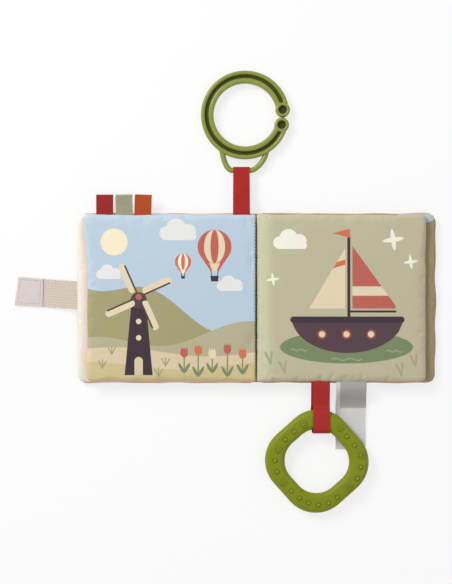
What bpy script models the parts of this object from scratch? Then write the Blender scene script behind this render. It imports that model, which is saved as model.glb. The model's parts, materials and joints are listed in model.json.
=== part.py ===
"""Crinkle cloth book, lying open at its middle spread.

Metres, +Z up, +X to the right page, +Y to the head of the book. The origin is under the middle of
the spine, on the surface that the book lies on. Four padded panels turn about one line over the
gutter. Ribbons, tags, label and strap are sewn in the panels' edge seams.
"""

from math import acos, asin, atan2, cos, hypot, pi, radians, sin, sqrt

import bmesh
import bpy
from mathutils import Matrix, Vector

# Clearances between pieces
GAP = 0.0003
TURN_GAP = 0.0002
OVERRUN = 0.002

# Cover panels
COVER_REACH = 0.1552
COVER_HEIGHT = 0.148
COVER_THICK = 0.007
COVER_CORNER = 0.009
COVER_ROLL = 0.005

# Leaf panels
COVER_REVEAL = 0.0092
HEM_REVEAL = 0.0015
LEAF_REACH = COVER_REACH - COVER_REVEAL
LEAF_HEIGHT = COVER_HEIGHT - 2 * HEM_REVEAL
LEAF_THICK = 0.0067
LEAF_CORNER = 0.0065
LEAF_ROLL = 0.008
LEAF_CROWN = 0.0009

# Cloth, seams and film of every panel
SKIN_THICK = 0.0006
SEAM_DEPTH = 0.005
EDGE_DRAW_IN = 0.0008
UNDER_ROLL = 0.004
FILM_THICK = 0.0003

# Gutter and spine
SPINE_WIDTH = 0.006
SPINE_THICK = 0.0008
STITCH_WIDTH = 0.0009
STITCH_LENGTH = 0.0042
STITCH_SPACE = 0.0016
STITCH_RISE = 0.0005

# Ribbon, folded double
RIBBON_WIDTH = 0.0146
RIBBON_THICK = 0.0005
FOLD_GAP = 0.0003
ROOT_DEPTH = 0.004
ROOT_OVERHANG = 0.0006
HINGE_BACK_SHARE = 1 / 3

# Where ribbons, tags and label leave the head and foot seams
RIBBON_STACK = 2 * RIBBON_THICK + FOLD_GAP
HEM_LINE = COVER_HEIGHT / 2 + ROOT_OVERHANG + RIBBON_STACK / 2

# Ring ribbon and C-ring
RING_RIBBON_X = -0.0129
RIBBON_HANG = 0.03475
RING_RADIUS = 0.0381
D_LOOP_DEPTH = 0.0097
D_BAR_DROP = RING_RADIUS + D_LOOP_DEPTH
RING_CENTRE = (-0.0097, HEM_LINE + RIBBON_HANG + D_BAR_DROP)
RING_BAND = 0.0109
RING_THICK = 0.008
RING_ROUND = 0.0012
GROOVE_WIDTH = 0.0029
GROOVE_DEPTH = 0.0026
GROOVE_INSET = 0.0035
GROOVE_STOP_ANGLE = radians(13)
KNOB_RADIUS = 0.0063
KNOB_HOLE_RADIUS = 0.0036
KNOB_HOLE_DEPTH = 0.003
KNOB_SPLIT = 0.0004
KNOB_ROUND = 0.001
SPLIT_ANGLE = radians(-3.8)
D_WIRE_RADIUS = 0.00235
D_BAR_CLEARANCE = 0.00035
D_BAR_SPARE = 0.0008
D_FOOT_ANGLE = radians(35)
D_LIMB_BOW = 0.0005
D_LIMB_RISE = 0.0065
D_BAR_EASE = 0.006
D_LIMB_STEPS = 7

# Teether and its ribbon
TEETHER_HANG = 0.06495
TEETHER_CENTRE = (0.052, -HEM_LINE - TEETHER_HANG)
TEETHER_OUTER_REACH = 0.0447
TEETHER_OUTER_FLAT = 0.0403
TEETHER_INNER_REACH = 0.0277
TEETHER_INNER_FLAT = 0.0256
TEETHER_THICK = 0.010
TEETHER_ROUND = 0.004
TEETHER_TURN = radians(-3.2)
TEETHER_TILT = radians(1.5)
TEETHER_RIBBON_X = 0.0558
TEETHER_HUG = 0.0004
TEETHER_WEB_SPACE = 0.0016
TEETHER_NECK = 0.0016
TEETHER_WRAP_SPACE = 0.0037
TEETHER_WRAP = TEETHER_OUTER_REACH - TEETHER_INNER_REACH + TEETHER_WRAP_SPACE
TEETHER_WRAP_START = radians(140)
TEETHER_ARC_STEPS = 8

# Sewn-in label
LABEL_X = 0.0815
LABEL_WIDTH = 0.0224
LABEL_LENGTH = 0.0555
LABEL_THICK = 0.0003
LABEL_SHIFT = 0.0036
LABEL_DROP_RUN = 0.0195
LABEL_DROP_STEPS = 8

# Ribbon tags
TAG_X = (-0.1303, -0.1135, -0.0975)
TAG_NAMES = ("red", "sage", "orange")
TAG_LENGTH = 0.0136
TAG_TILTS = (radians(0.0), radians(1.5), radians(-1.5))

# Closure strap and its patches
STRAP_Y = 0.0026
STRAP_WIDTH = 0.0245
STRAP_THICK = 0.0012
STRAP_TIP_LENGTH = 0.0262
STRAP_LEAN = 0.065
STRAP_EDGE_SPACE = 0.0008
HOOK_THICK = 0.0008
HOOK_INSET = 0.0013
LOOP_PATCH_LENGTH = 0.030
LOOP_PATCH_WIDTH = 0.030
LOOP_PATCH_THICK = 0.0008
LOOP_PATCH_INSET = 0.0055

# Heights and lines that the sizes above give
LEAF_LOW = COVER_THICK + GAP
LEAF_TOP = LEAF_LOW + LEAF_THICK
FOLD_HEIGHT = LEAF_TOP + TURN_GAP
COVER_SEAM = COVER_THICK / 2
LEAF_SEAM = LEAF_LOW + LEAF_THICK / 2
COVER_ROOT = SPINE_WIDTH / 2 + GAP
LEAF_ROOT = STITCH_WIDTH / 2 + GAP + TURN_GAP
STRAP_LINE = COVER_REACH + STRAP_EDGE_SPACE + STRAP_THICK / 2
LABEL_STACK = 2 * LABEL_THICK + FOLD_GAP
STRAP_TUCK = GAP + HOOK_THICK + GAP + STRAP_THICK / 2
STRAP_WEB_LENGTH = 2 * FOLD_HEIGHT - COVER_SEAM + STRAP_TUCK
STRAP_TIP_HEIGHT = STRAP_THICK / 2
STRAP_SLOPE = asin((COVER_SEAM - STRAP_TIP_HEIGHT) / STRAP_WEB_LENGTH)
STRAP_TIP_LINE = STRAP_LINE + STRAP_WEB_LENGTH * cos(STRAP_SLOPE)
BAND_RECESS = GAP
D_BAR = (RING_CENTRE[1] - D_BAR_DROP, RING_THICK / 2)

# How finely round shapes are faceted
GRID_CORNER_SHARES = (0.0, 0.3, 0.65, 1.0)
GRID_MIDDLE_SHARES = (0.2, 0.4, 0.6, 0.8)
INNER_MIDDLE_SHARES = (0.33, 0.67)
RING_STEPS = 44
KNOB_SIDES = 24
WIRE_SIDES = 10
EYE_STEPS = 10
SMOOTH_ANGLE = radians(35)
RIM_ANGLE_LEEWAY = radians(22.5)

# Colour and roughness of each finish
COLOURS = {
    "cream": ((0.82, 0.73, 0.62), 0.9),
    "olive": ((0.34, 0.30, 0.19), 0.9),
    "peach": ((0.72, 0.40, 0.24), 0.9),
    "sky": ((0.53, 0.66, 0.77), 0.85),
    "sage": ((0.56, 0.52, 0.34), 0.85),
    "mauve": ((0.28, 0.17, 0.15), 0.9),
    "batting": ((0.86, 0.86, 0.84), 0.95),
    "film": ((0.78, 0.80, 0.82), 0.3),
    "thread": ((0.30, 0.24, 0.18), 0.8),
    "red_ribbon": ((0.41, 0.02, 0.017), 0.7),
    "tag_red": ((0.32, 0.025, 0.018), 0.7),
    "tag_sage": ((0.37, 0.32, 0.21), 0.7),
    "tag_orange": ((0.47, 0.06, 0.01), 0.7),
    "webbing": ((0.69, 0.58, 0.48), 0.9),
    "fastener": ((0.69, 0.64, 0.61), 0.95),
    "ring_green": ((0.29, 0.35, 0.07), 0.35),
    "teether_green": ((0.19, 0.21, 0.006), 0.5),
    "label": ((0.74, 0.74, 0.75), 0.5),
}


def material(name):
    found = bpy.data.materials.get(name)
    if found:
        return found
    colour, roughness = COLOURS[name]
    made = bpy.data.materials.new(name)
    made.use_nodes = True
    made.diffuse_color = (*colour, 1)
    shader = made.node_tree.nodes["Principled BSDF"]
    shader.inputs["Base Color"].default_value = (*colour, 1)
    shader.inputs["Roughness"].default_value = roughness
    shader.inputs["Metallic"].default_value = 0
    return made


def new_object(name, bm, colour, joint=None, smooth=True):
    """The bmesh as an object. A moving piece hangs under the empty that stands on its joint."""
    mesh = bpy.data.meshes.new(name)
    bmesh.ops.recalc_face_normals(bm, faces=bm.faces)
    if bm.calc_volume(signed=True) < 0:
        bmesh.ops.reverse_faces(bm, faces=bm.faces)
    bm.to_mesh(mesh)
    bm.free()
    obj = bpy.data.objects.new(name, mesh)
    bpy.context.scene.collection.objects.link(obj)
    mesh.materials.append(material(colour))
    if smooth:
        mesh.shade_smooth()
        mesh.set_sharp_from_angle(angle=SMOOTH_ANGLE)
    if joint:
        obj.parent = joint
        obj.matrix_parent_inverse = joint.matrix_world.inverted()
    return obj


def joint_empty(name, place, parent=None):
    """An empty on a joint's axis. Every one stands unturned, so its world matrix is its place."""
    empty = bpy.data.objects.new(name, None)
    bpy.context.scene.collection.objects.link(empty)
    empty.matrix_world = Matrix.Translation(place)
    if parent:
        empty.parent = parent
        empty.matrix_parent_inverse = parent.matrix_world.inverted()
    bpy.context.view_layer.update()
    return empty


def boolean(target, cutter, operation="DIFFERENCE"):
    cutter.hide_render = True
    cutter.display_type = "WIRE"
    modifier = target.modifiers.new(cutter.name, "BOOLEAN")
    modifier.operation = operation
    modifier.solver = "EXACT"
    modifier.object = cutter


def box_mesh(low, high):
    bm = bmesh.new()
    bmesh.ops.create_cube(bm, size=1)
    size = Vector(high) - Vector(low)
    centre = (Vector(high) + Vector(low)) / 2
    bmesh.ops.scale(bm, vec=size, verts=bm.verts)
    bmesh.ops.translate(bm, vec=centre, verts=bm.verts)
    return bm


def closed_between(upper, lower):
    """A closed skin round two grids of points of the same rows and columns."""
    bm = bmesh.new()
    sheets = []
    for grid in (upper, lower):
        sheets.append([[bm.verts.new(point) for point in row] for row in grid])
    for sheet in sheets:
        for row, after in zip(sheet, sheet[1:]):
            for i in range(len(row) - 1):
                bm.faces.new((row[i], row[i + 1], after[i + 1], after[i]))
    upper_rim, lower_rim = (rim_of(sheet) for sheet in sheets)
    for i in range(len(upper_rim)):
        bm.faces.new((upper_rim[i - 1], upper_rim[i], lower_rim[i], lower_rim[i - 1]))
    bmesh.ops.triangulate(bm, faces=bm.faces)
    return bm


def rim_of(sheet):
    """The border of a grid of points, once round."""
    right = [row[-1] for row in sheet[1:-1]]
    left = [row[0] for row in sheet[-2:0:-1]]
    return [*sheet[0], *right, *sheet[-1][::-1], *left]


def swept_strip(path, thickness, sides_at):
    """A strip of cloth: its path in one plane, its thickness square to that, its width across."""
    points = [Vector(p) for p in path]
    sides = ([], [])
    for i, point in enumerate(points):
        before = points[max(i - 1, 0)]
        after = points[min(i + 1, len(points) - 1)]
        along = (after - before).normalized()
        out = Vector((-along.y, along.x)) * thickness / 2
        turn = 1.0
        if 0 < i < len(points) - 1:
            half = (point - before).normalized().angle(along)
            turn = 1 / max(cos(half), 1 / sqrt(2))
        sides[0].append(point + out * turn)
        sides[1].append(point - out * turn)
    grids = [[[to_space(p, x) for p in side] for x in sides_at] for side in sides]
    return closed_between(*grids)


def to_space(point, x):
    """A point of the YZ plane, put at a place along X."""
    return (x, point.x, point.y)


def arc(centre, radius, start, end, steps):
    """Points of an arc, both ends among them."""
    turns = [start + (end - start) * i / steps for i in range(steps + 1)]
    return [(centre[0] + radius * cos(a), centre[1] + radius * sin(a)) for a in turns]


class Panel:
    """One padded panel. Places on it are a distance u from its root and a height v above its middle."""

    def __init__(self, side, root, reach, height, low, thick, corner, roll, crown):
        self.side = side
        self.root = root
        self.length = reach - root
        self.half = height / 2
        self.low = low
        self.thick = thick
        self.seam = low + thick / 2
        self.corner = corner
        self.roll = roll
        self.crown = crown
        self.patch = None

    def edge_distance(self, u, v):
        """How far inside the rounded outline a place is."""
        beyond_u = abs(u - self.length / 2) - (self.length / 2 - self.corner)
        beyond_v = abs(v) - (self.half - self.corner)
        outside = hypot(max(beyond_u, 0), max(beyond_v, 0))
        return max(self.corner - outside - min(max(beyond_u, beyond_v), 0), 0)

    def swell(self, u, v, roll, wall):
        """Quarter of an ellipse from the seam up to the flat of the panel, from 0 to 1."""
        near = 1 - min(max(self.edge_distance(u, v) - wall, 0) / roll, 1)
        return sqrt(max(1 - near * near, 0))

    def upper(self, u, v, wall=0):
        """Height of the upper skin's outer face, or of its inner face, a wall further in."""
        middle = (1 - (2 * u / self.length - 1) ** 2) * (1 - (v / self.half) ** 2)
        rise = self.thick / 2 - GAP / 2 - self.crown * (1 - middle) - wall
        return self.seam + GAP / 2 + rise * self.swell(u, v, self.roll, wall)

    def lower(self, u, v, wall=0):
        """Height of the lower skin's outer face, or of its inner face, a wall further in."""
        low = self.low + wall
        if self.patch and self.patch.holds(u, v):
            low += LOOP_PATCH_THICK + GAP
        fall = self.seam - GAP / 2 - low
        return self.seam - GAP / 2 - fall * self.swell(u, v, UNDER_ROLL, wall)

    def upper_inside(self, u, v):
        return self.upper(u, v, SKIN_THICK)

    def lower_inside(self, u, v):
        return self.lower(u, v, SKIN_THICK)

    def lines(self, length, inset, middle_shares, extra):
        """Grid lines: close together in the corners, wide apart between them."""
        corner = max(self.corner - inset, inset / 2)
        ends = [inset + share * corner for share in GRID_CORNER_SHARES]
        inner = [length * share for share in middle_shares]
        inner = [at for at in inner if all(abs(at - other) > self.corner / 2 for other in extra)]
        return sorted(ends + inner + list(extra) + [length - at for at in ends]), corner

    def grid(self, height, inset, shift, middle_shares, patch_lines=False):
        """Rows of points on the upper or lower face, its outline drawn in by the inset."""
        extra_u, extra_v = self.patch.lines() if patch_lines else ((), ())
        us, corner = self.lines(self.length, inset, middle_shares, extra_u)
        vs, _ = self.lines(2 * self.half, inset, middle_shares, extra_v)
        rows = []
        for v_line in vs:
            row = []
            for u_line in us:
                u, v = self.rounded(u_line, v_line - self.half, inset, corner)
                row.append(self.place(u, v, height(u, v) + shift))
            rows.append(row)
        return rows

    def rounded(self, u, v, inset, corner):
        """A square corner of the grid pulled in to a round one."""
        middle = self.length / 2
        over_u = abs(u - middle) - (middle - inset - corner)
        over_v = abs(v) - (self.half - inset - corner)
        if over_u <= 0 or over_v <= 0:
            return u, v
        pull = max(over_u, over_v) / hypot(over_u, over_v)
        u_side = 1 if u > middle else -1
        v_side = 1 if v > 0 else -1
        return (
            middle + u_side * (middle - inset - corner + over_u * pull),
            v_side * (self.half - inset - corner + over_v * pull),
        )

    def place(self, u, v, z):
        """World point. The sewn edges draw in a little between the corners."""
        out = u / self.length
        u_in = u - EDGE_DRAW_IN * out * (1 - (v / self.half) ** 2)
        v_in = v - EDGE_DRAW_IN * (v / self.half) * (1 - (2 * out - 1) ** 2)
        return (self.side * (self.root + u_in), v_in, z)


class Patch:
    """The loop patch's bed in a panel's underside, in the panel's own u and v."""

    def __init__(self, low_u, high_u, low_v, high_v):
        margin = EDGE_DRAW_IN + GAP
        self.low = (low_u - margin, low_v - margin)
        self.high = (high_u + margin, high_v + margin)

    def holds(self, u, v):
        inside_u = self.low[0] - GAP / 2 < u < self.high[0] + GAP / 2
        return inside_u and self.low[1] - GAP / 2 < v < self.high[1] + GAP / 2

    def lines(self):
        half = COVER_HEIGHT / 2
        us = (self.low[0] - GAP, self.low[0], self.high[0], self.high[0] + GAP)
        vs = (self.low[1] - GAP, self.low[1], self.high[1], self.high[1] + GAP)
        return us, [v + half for v in vs]


def build_panel(panel, name, faces, colours, joint):
    """Two skins sewn at their edges round a pad of batting, with crinkle film over it."""
    bedded = panel.patch is not None
    bed = LOOP_PATCH_THICK + GAP if bedded else 0
    skins = []
    for outside, inside, face, colour, lined in (
        (panel.upper, panel.upper_inside, faces[0], colours[0], False),
        (panel.lower, panel.lower_inside, faces[1], colours[1], bedded),
    ):
        outer = panel.grid(outside, 0, 0, GRID_MIDDLE_SHARES, lined)
        inner = panel.grid(inside, SKIN_THICK, 0, GRID_MIDDLE_SHARES, lined)
        bm = closed_between(outer, inner)
        skins.append(new_object(f"{name}_{face}", bm, colour, joint))

    film_top = panel.grid(panel.upper, SEAM_DEPTH, -SKIN_THICK - GAP, INNER_MIDDLE_SHARES)
    film_under = -SKIN_THICK - GAP - FILM_THICK
    film_low = panel.grid(panel.upper, SEAM_DEPTH, film_under, INNER_MIDDLE_SHARES)
    new_object(f"{name}_crinkle_film", closed_between(film_top, film_low), "film", joint)

    plain = Panel(panel.side, panel.root, panel.root + panel.length, 2 * panel.half, panel.low,
                  panel.thick, panel.corner, panel.roll, panel.crown)
    pad_top = plain.grid(plain.upper, SEAM_DEPTH, film_under - GAP, INNER_MIDDLE_SHARES)
    pad_low = plain.grid(plain.lower, SEAM_DEPTH, SKIN_THICK + GAP + bed, INNER_MIDDLE_SHARES)
    new_object(f"{name}_batting", closed_between(pad_top, pad_low), "batting", joint)
    return skins


def seam_root(name, colour, skins, joint, low, high):
    """What is sewn into an edge seam: a short block, and the slot that it takes between the skins."""
    root = new_object(name, box_mesh(low, high), colour, joint, smooth=False)
    slot_low = [value - GAP for value in low]
    slot_high = [value + GAP for value in high]
    slot = new_object(f"{name}_slot", box_mesh(slot_low, slot_high), colour, joint, smooth=False)
    for skin in skins:
        boolean(skin, slot)
    return root


def hinge_back(thickness):
    """How far a strip reaches back past its hinge line, and where what carries it has to end."""
    back = thickness * HINGE_BACK_SHARE
    return back, hypot(back, thickness / 2) + TURN_GAP


def folded_path(length, end_radius, offset, back):
    """A strip folded double: out along the top, round the end, and back underneath."""
    centre_line = max(end_radius, offset)
    lean = atan2(offset, -length)
    touch = lean - acos(min(centre_line / hypot(length, offset), 1))
    if end_radius <= offset:
        touch = pi / 2
    bend = arc((length, 0), centre_line, touch, -touch, EYE_STEPS)
    return [(-back, offset), *bend, (-back, -offset)]


def turned(path, start, slope, heading):
    """A path drawn along +u, laid from a start point down a slope towards +Y or -Y."""
    points = []
    for u, w in path:
        y = start[0] + heading * (u * cos(slope) + w * sin(slope))
        points.append((y, start[1] - u * sin(slope) + w * cos(slope)))
    return points


def across(middle, width):
    return (middle - width / 2, middle + width / 2)


def ribbon_loop_path(start, bar):
    """The ring ribbon: from its hinge round the D-bar and back."""
    length = hypot(bar[0] - start[0], bar[1] - start[1])
    slope = atan2(start[1] - bar[1], bar[0] - start[0])
    back, _ = hinge_back(RIBBON_STACK)
    eye = D_WIRE_RADIUS + D_BAR_CLEARANCE + RIBBON_THICK / 2
    path = folded_path(length, eye, (RIBBON_THICK + FOLD_GAP) / 2, back)
    return turned(path, start, slope, 1)


def build_covers(root_joint, front_joint):
    """Back cover on the right, front cover on the left, lying flat on the table."""
    sizes = (COVER_ROOT, COVER_REACH, COVER_HEIGHT, 0, COVER_THICK, COVER_CORNER, COVER_ROLL, 0)
    back = Panel(1, *sizes)
    patch_end = back.length - LOOP_PATCH_INSET
    patch_y = STRAP_Y + STRAP_LEAN * (STRAP_WEB_LENGTH + STRAP_TIP_LENGTH / 2)
    patch_v = across(patch_y, LOOP_PATCH_WIDTH)
    back.patch = Patch(patch_end - LOOP_PATCH_LENGTH, patch_end, *patch_v)
    build_panel(back, "back_cover", ("inner_skin", "outer_skin"), ("olive", "peach"), root_joint)
    patch_low = (COVER_ROOT + patch_end - LOOP_PATCH_LENGTH, patch_v[0], 0)
    patch_high = (COVER_ROOT + patch_end, patch_v[1], LOOP_PATCH_THICK)
    patch = box_mesh(patch_low, patch_high)
    new_object("closure_loop_patch", patch, "fastener", root_joint, smooth=False)

    front = Panel(-1, *sizes)
    names = ("inner_skin", "outer_skin")
    skins = build_panel(front, "front_cover", names, ("cream", "peach"), front_joint)
    _, room = hinge_back(STRAP_THICK)
    low = (-STRAP_LINE + room, STRAP_Y - STRAP_WIDTH / 2, COVER_SEAM - STRAP_THICK / 2)
    high = (-COVER_REACH + ROOT_DEPTH, STRAP_Y + STRAP_WIDTH / 2, COVER_SEAM + STRAP_THICK / 2)
    seam_root("strap_root", "webbing", skins, front_joint, low, high)


def edge_root(name, colour, skins, joint, middle, width, stack, heading):
    """A ribbon's sewn end in a leaf's upper or lower edge seam."""
    _, room = hinge_back(stack)
    inner = heading * (LEAF_HEIGHT / 2 - ROOT_DEPTH)
    outer = heading * (HEM_LINE - room)
    left, right = across(middle, width)
    low = (left, min(inner, outer), LEAF_SEAM - stack / 2)
    high = (right, max(inner, outer), LEAF_SEAM + stack / 2)
    seam_root(name, colour, skins, joint, low, high)


def build_leaves(left_joint, right_joint):
    """The two inner leaves, which lie on the covers and carry the ribbons."""
    sizes = (LEAF_ROOT, LEAF_REACH, LEAF_HEIGHT, LEAF_LOW, LEAF_THICK, LEAF_CORNER, LEAF_ROLL)
    faces = ("picture_skin", "reverse_skin")
    left = build_panel(Panel(-1, *sizes, LEAF_CROWN), "left_leaf", faces, ("sky", "peach"), left_joint)
    right = build_panel(Panel(1, *sizes, LEAF_CROWN), "right_leaf", faces, ("sage", "mauve"), right_joint)
    for name, middle in zip(TAG_NAMES, TAG_X):
        colour = f"tag_{name}"
        edge_root(f"tag_{name}_root", colour, left, left_joint, middle, RIBBON_WIDTH, RIBBON_STACK, 1)
    edge_root("ring_ribbon_root", "red_ribbon", left, left_joint, RING_RIBBON_X, RIBBON_WIDTH,
              RIBBON_STACK, 1)
    edge_root("teether_ribbon_root", "red_ribbon", right, right_joint, TEETHER_RIBBON_X, RIBBON_WIDTH,
              RIBBON_STACK, -1)
    edge_root("label_root", "label", right, right_joint, LABEL_X, LABEL_WIDTH, LABEL_STACK, -1)


def build_gutter(joint):
    """The spine strip on the table, and the sewn line that stands on it between the panels."""
    half = SPINE_WIDTH / 2
    low = (-half, -COVER_HEIGHT / 2, 0)
    high = (half, COVER_HEIGHT / 2, SPINE_THICK)
    new_object("spine_strip", box_mesh(low, high), "peach", joint, smooth=False)

    bm = bmesh.new()
    pitch = STITCH_LENGTH + STITCH_SPACE
    count = int((LEAF_HEIGHT - 2 * LEAF_CORNER) / pitch)
    start = -count * pitch / 2
    bottom = SPINE_THICK + GAP
    top = LEAF_SEAM
    outline = [(start - STITCH_SPACE, bottom), (start - STITCH_SPACE, top)]
    for i in range(count):
        at = start + i * pitch
        outline += [(at, top), (at, top + STITCH_RISE)]
        outline += [(at + STITCH_LENGTH, top + STITCH_RISE), (at + STITCH_LENGTH, top)]
    outline += [(start + count * pitch, top), (start + count * pitch, bottom)]
    near = [bm.verts.new((-STITCH_WIDTH / 2, y, z)) for y, z in outline]
    face = bm.faces.new(near)
    grown = bmesh.ops.extrude_face_region(bm, geom=[face])["geom"]
    moved = [item for item in grown if isinstance(item, bmesh.types.BMVert)]
    bmesh.ops.translate(bm, vec=(STITCH_WIDTH, 0, 0), verts=moved)
    new_object("gutter_stitching", bm, "thread", joint, smooth=False)


def build_tags(tag_joints):
    """Three ribbon tags, each a strip folded double, standing out from the head seam."""
    back, _ = hinge_back(RIBBON_STACK)
    offset = (RIBBON_THICK + FOLD_GAP) / 2
    path = folded_path(TAG_LENGTH - offset - RIBBON_THICK / 2, 0, offset, back)
    for name, middle, tilt, joint in zip(TAG_NAMES, TAG_X, TAG_TILTS, tag_joints):
        bm = swept_strip(turned(path, (HEM_LINE, LEAF_SEAM), 0, 1), RIBBON_THICK,
                         across(middle, RIBBON_WIDTH))
        swing = Matrix.Rotation(tilt, 3, "Z")
        bmesh.ops.rotate(bm, cent=(middle, HEM_LINE, LEAF_SEAM), matrix=swing, verts=bm.verts)
        new_object(f"tag_{name}", bm, f"tag_{name}", joint)


def revolved(profile, centre, start, end, steps):
    """A closed profile of radius and height, turned about an upright axis, with flat ends."""
    bm = bmesh.new()
    verts = [bm.verts.new((r * cos(start), r * sin(start), z)) for r, z in profile]
    face = bm.faces.new(verts)
    made = bmesh.ops.spin(bm, geom=[face, *face.edges, *verts], cent=(0, 0, 0), axis=(0, 0, 1),
                          angle=end - start, steps=steps, use_duplicate=False)
    last = [item for item in made["geom_last"] if isinstance(item, bmesh.types.BMFace)]
    if not last:
        loop = [edge for edge in bm.edges if edge.is_boundary]
        bmesh.ops.holes_fill(bm, edges=loop)
    bmesh.ops.translate(bm, vec=centre, verts=bm.verts)
    return bm


def knob_mesh(place, radius, low, high, chamfer):
    bm = bmesh.new()
    bmesh.ops.create_cone(bm, cap_ends=True, segments=KNOB_SIDES, radius1=radius, radius2=radius,
                          depth=high - low)
    if chamfer:
        rims = [edge for edge in bm.edges if abs(edge.verts[0].co.z - edge.verts[1].co.z) < GAP]
        bmesh.ops.bevel(bm, geom=rims, offset=chamfer, segments=2, profile=0.5, affect="EDGES",
                        material=-1)
    bmesh.ops.translate(bm, vec=(place[0], place[1], (low + high) / 2), verts=bm.verts)
    return bm


def wire_mesh(points, height, radius):
    """A round wire along flat points."""
    bm = bmesh.new()
    path = [Vector((x, y, height)) for x, y in points]
    rings = []
    for i, point in enumerate(path):
        along = (path[min(i + 1, len(path) - 1)] - path[max(i - 1, 0)]).normalized()
        out = along.cross(Vector((0, 0, 1)))
        spokes = [2 * pi * k / WIRE_SIDES for k in range(WIRE_SIDES)]
        ring = [point + radius * (cos(a) * out + sin(a) * Vector((0, 0, 1))) for a in spokes]
        rings.append([bm.verts.new(spoke) for spoke in ring])
    for ring, after in zip(rings, rings[1:]):
        for k in range(WIRE_SIDES):
            other = (k + 1) % WIRE_SIDES
            bm.faces.new((ring[k], ring[other], after[other], after[k]))
    bm.faces.new(rings[0])
    bm.faces.new(rings[-1])
    return bm


def d_wire_points():
    """The D-loop under the ring: two bowed limbs and the straight bar that the ribbon goes round."""
    bar_y = RING_CENTRE[1] - D_BAR_DROP
    bar_left, bar_right = across(RING_RIBBON_X, RIBBON_WIDTH + 2 * D_BAR_SPARE)
    points = []
    for bar_end, side in ((bar_left, -1), (bar_right, 1)):
        foot_angle = -pi / 2 + side * D_FOOT_ANGLE
        foot_radius = RING_RADIUS - GROOVE_INSET / 2
        foot = Vector((RING_CENTRE[0] + foot_radius * cos(foot_angle),
                       RING_CENTRE[1] + foot_radius * sin(foot_angle)))
        end = Vector((bar_end, bar_y))
        bow = Vector((foot.x + side * D_LIMB_BOW, bar_y + D_LIMB_RISE))
        limb = []
        for i in range(D_LIMB_STEPS + 1):
            t = i / D_LIMB_STEPS
            turn = Vector((end.x + side * D_BAR_EASE, bar_y))
            limb.append((1 - t) ** 3 * foot + 3 * t * (1 - t) ** 2 * bow
                        + 3 * t * t * (1 - t) * turn + t ** 3 * end)
        points += limb if side < 0 else limb[::-1]
    return points


def build_ring(joint):
    """The C-ring: a grooved band, a knob at each end of its split, and the D-loop, one moulding."""
    centre = (*RING_CENTRE, 0)
    middle_radius = RING_RADIUS - RING_BAND / 2
    half_turn = asin((KNOB_RADIUS + KNOB_SPLIT / 2) / middle_radius)
    start, end = SPLIT_ANGLE + half_turn, SPLIT_ANGLE + 2 * pi - half_turn
    inner, outer = RING_RADIUS - RING_BAND, RING_RADIUS
    low, high = BAND_RECESS, RING_THICK - BAND_RECESS
    soft = RING_ROUND
    profile = [(inner + soft, low), (outer - soft, low), (outer, low + soft), (outer, high - soft),
               (outer - soft, high), (inner + soft, high), (inner, high - soft), (inner, low + soft)]
    ring = new_object("c_ring", revolved(profile, centre, start, end, RING_STEPS), "ring_green", joint)

    groove_outer = outer - GROOVE_INSET
    groove_inner = groove_outer - GROOVE_WIDTH
    groove_ends = (start + GROOVE_STOP_ANGLE, end - GROOVE_STOP_ANGLE)
    for face, floor, mouth in (("top", high - GROOVE_DEPTH, high + OVERRUN),
                               ("under", low - OVERRUN, low + GROOVE_DEPTH)):
        cut = [(groove_inner, floor), (groove_outer, floor), (groove_outer, mouth), (groove_inner, mouth)]
        cutter = revolved(cut, centre, *groove_ends, RING_STEPS)
        boolean(ring, new_object(f"ring_groove_{face}", cutter, "ring_green", joint))

    wire = wire_mesh(d_wire_points(), D_BAR[1], D_WIRE_RADIUS)
    boolean(ring, new_object("ring_d_wire", wire, "ring_green", joint), "UNION")

    holes = []
    for side, angle in (("upper", start), ("lower", end)):
        place = (centre[0] + middle_radius * cos(angle), centre[1] + middle_radius * sin(angle))
        knob = knob_mesh(place, KNOB_RADIUS, 0, RING_THICK, KNOB_ROUND)
        boolean(ring, new_object(f"ring_knob_{side}", knob, "ring_green", joint), "UNION")
        holes.append((f"ring_hole_{side}", place))
    for name, place in holes:
        hole = knob_mesh(place, KNOB_HOLE_RADIUS, RING_THICK - KNOB_HOLE_DEPTH, RING_THICK + OVERRUN, 0)
        boolean(ring, new_object(name, hole, "ring_green", joint))


def rounded_diamond(reach, flat):
    """A square stood on its corner, its corners rounded to reach so far. Listed round from a point."""
    corner = (flat * sqrt(2) - reach) / (sqrt(2) - 1)
    points = []
    for i in range(4):
        heading = i * pi / 2 + TEETHER_TURN
        out = reach - corner
        centre = (TEETHER_CENTRE[0] + out * cos(heading), TEETHER_CENTRE[1] + out * sin(heading))
        points += arc(centre, corner, heading - pi / 4, heading + pi / 4, TEETHER_ARC_STEPS)
    return points


def tilt_teether(bm):
    """The teether lies on its far edge, its near edge raised a little by the ribbon."""
    far = (0, TEETHER_CENTRE[1] - TEETHER_OUTER_REACH, 0)
    turn = Matrix.Rotation(TEETHER_TILT, 3, "X")
    bmesh.ops.rotate(bm, cent=far, matrix=turn, verts=bm.verts)


def teether_flex_line():
    """Where the ribbon bends beside the teether's rim, tilted with it, as a Y and a Z."""
    far = TEETHER_CENTRE[1] - TEETHER_OUTER_REACH
    out = 2 * TEETHER_OUTER_REACH + TEETHER_HUG + RIBBON_THICK + TEETHER_WEB_SPACE + TEETHER_NECK
    up = TEETHER_THICK / 2
    return (far + out * cos(TEETHER_TILT) - up * sin(TEETHER_TILT),
            out * sin(TEETHER_TILT) + up * cos(TEETHER_TILT))


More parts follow.
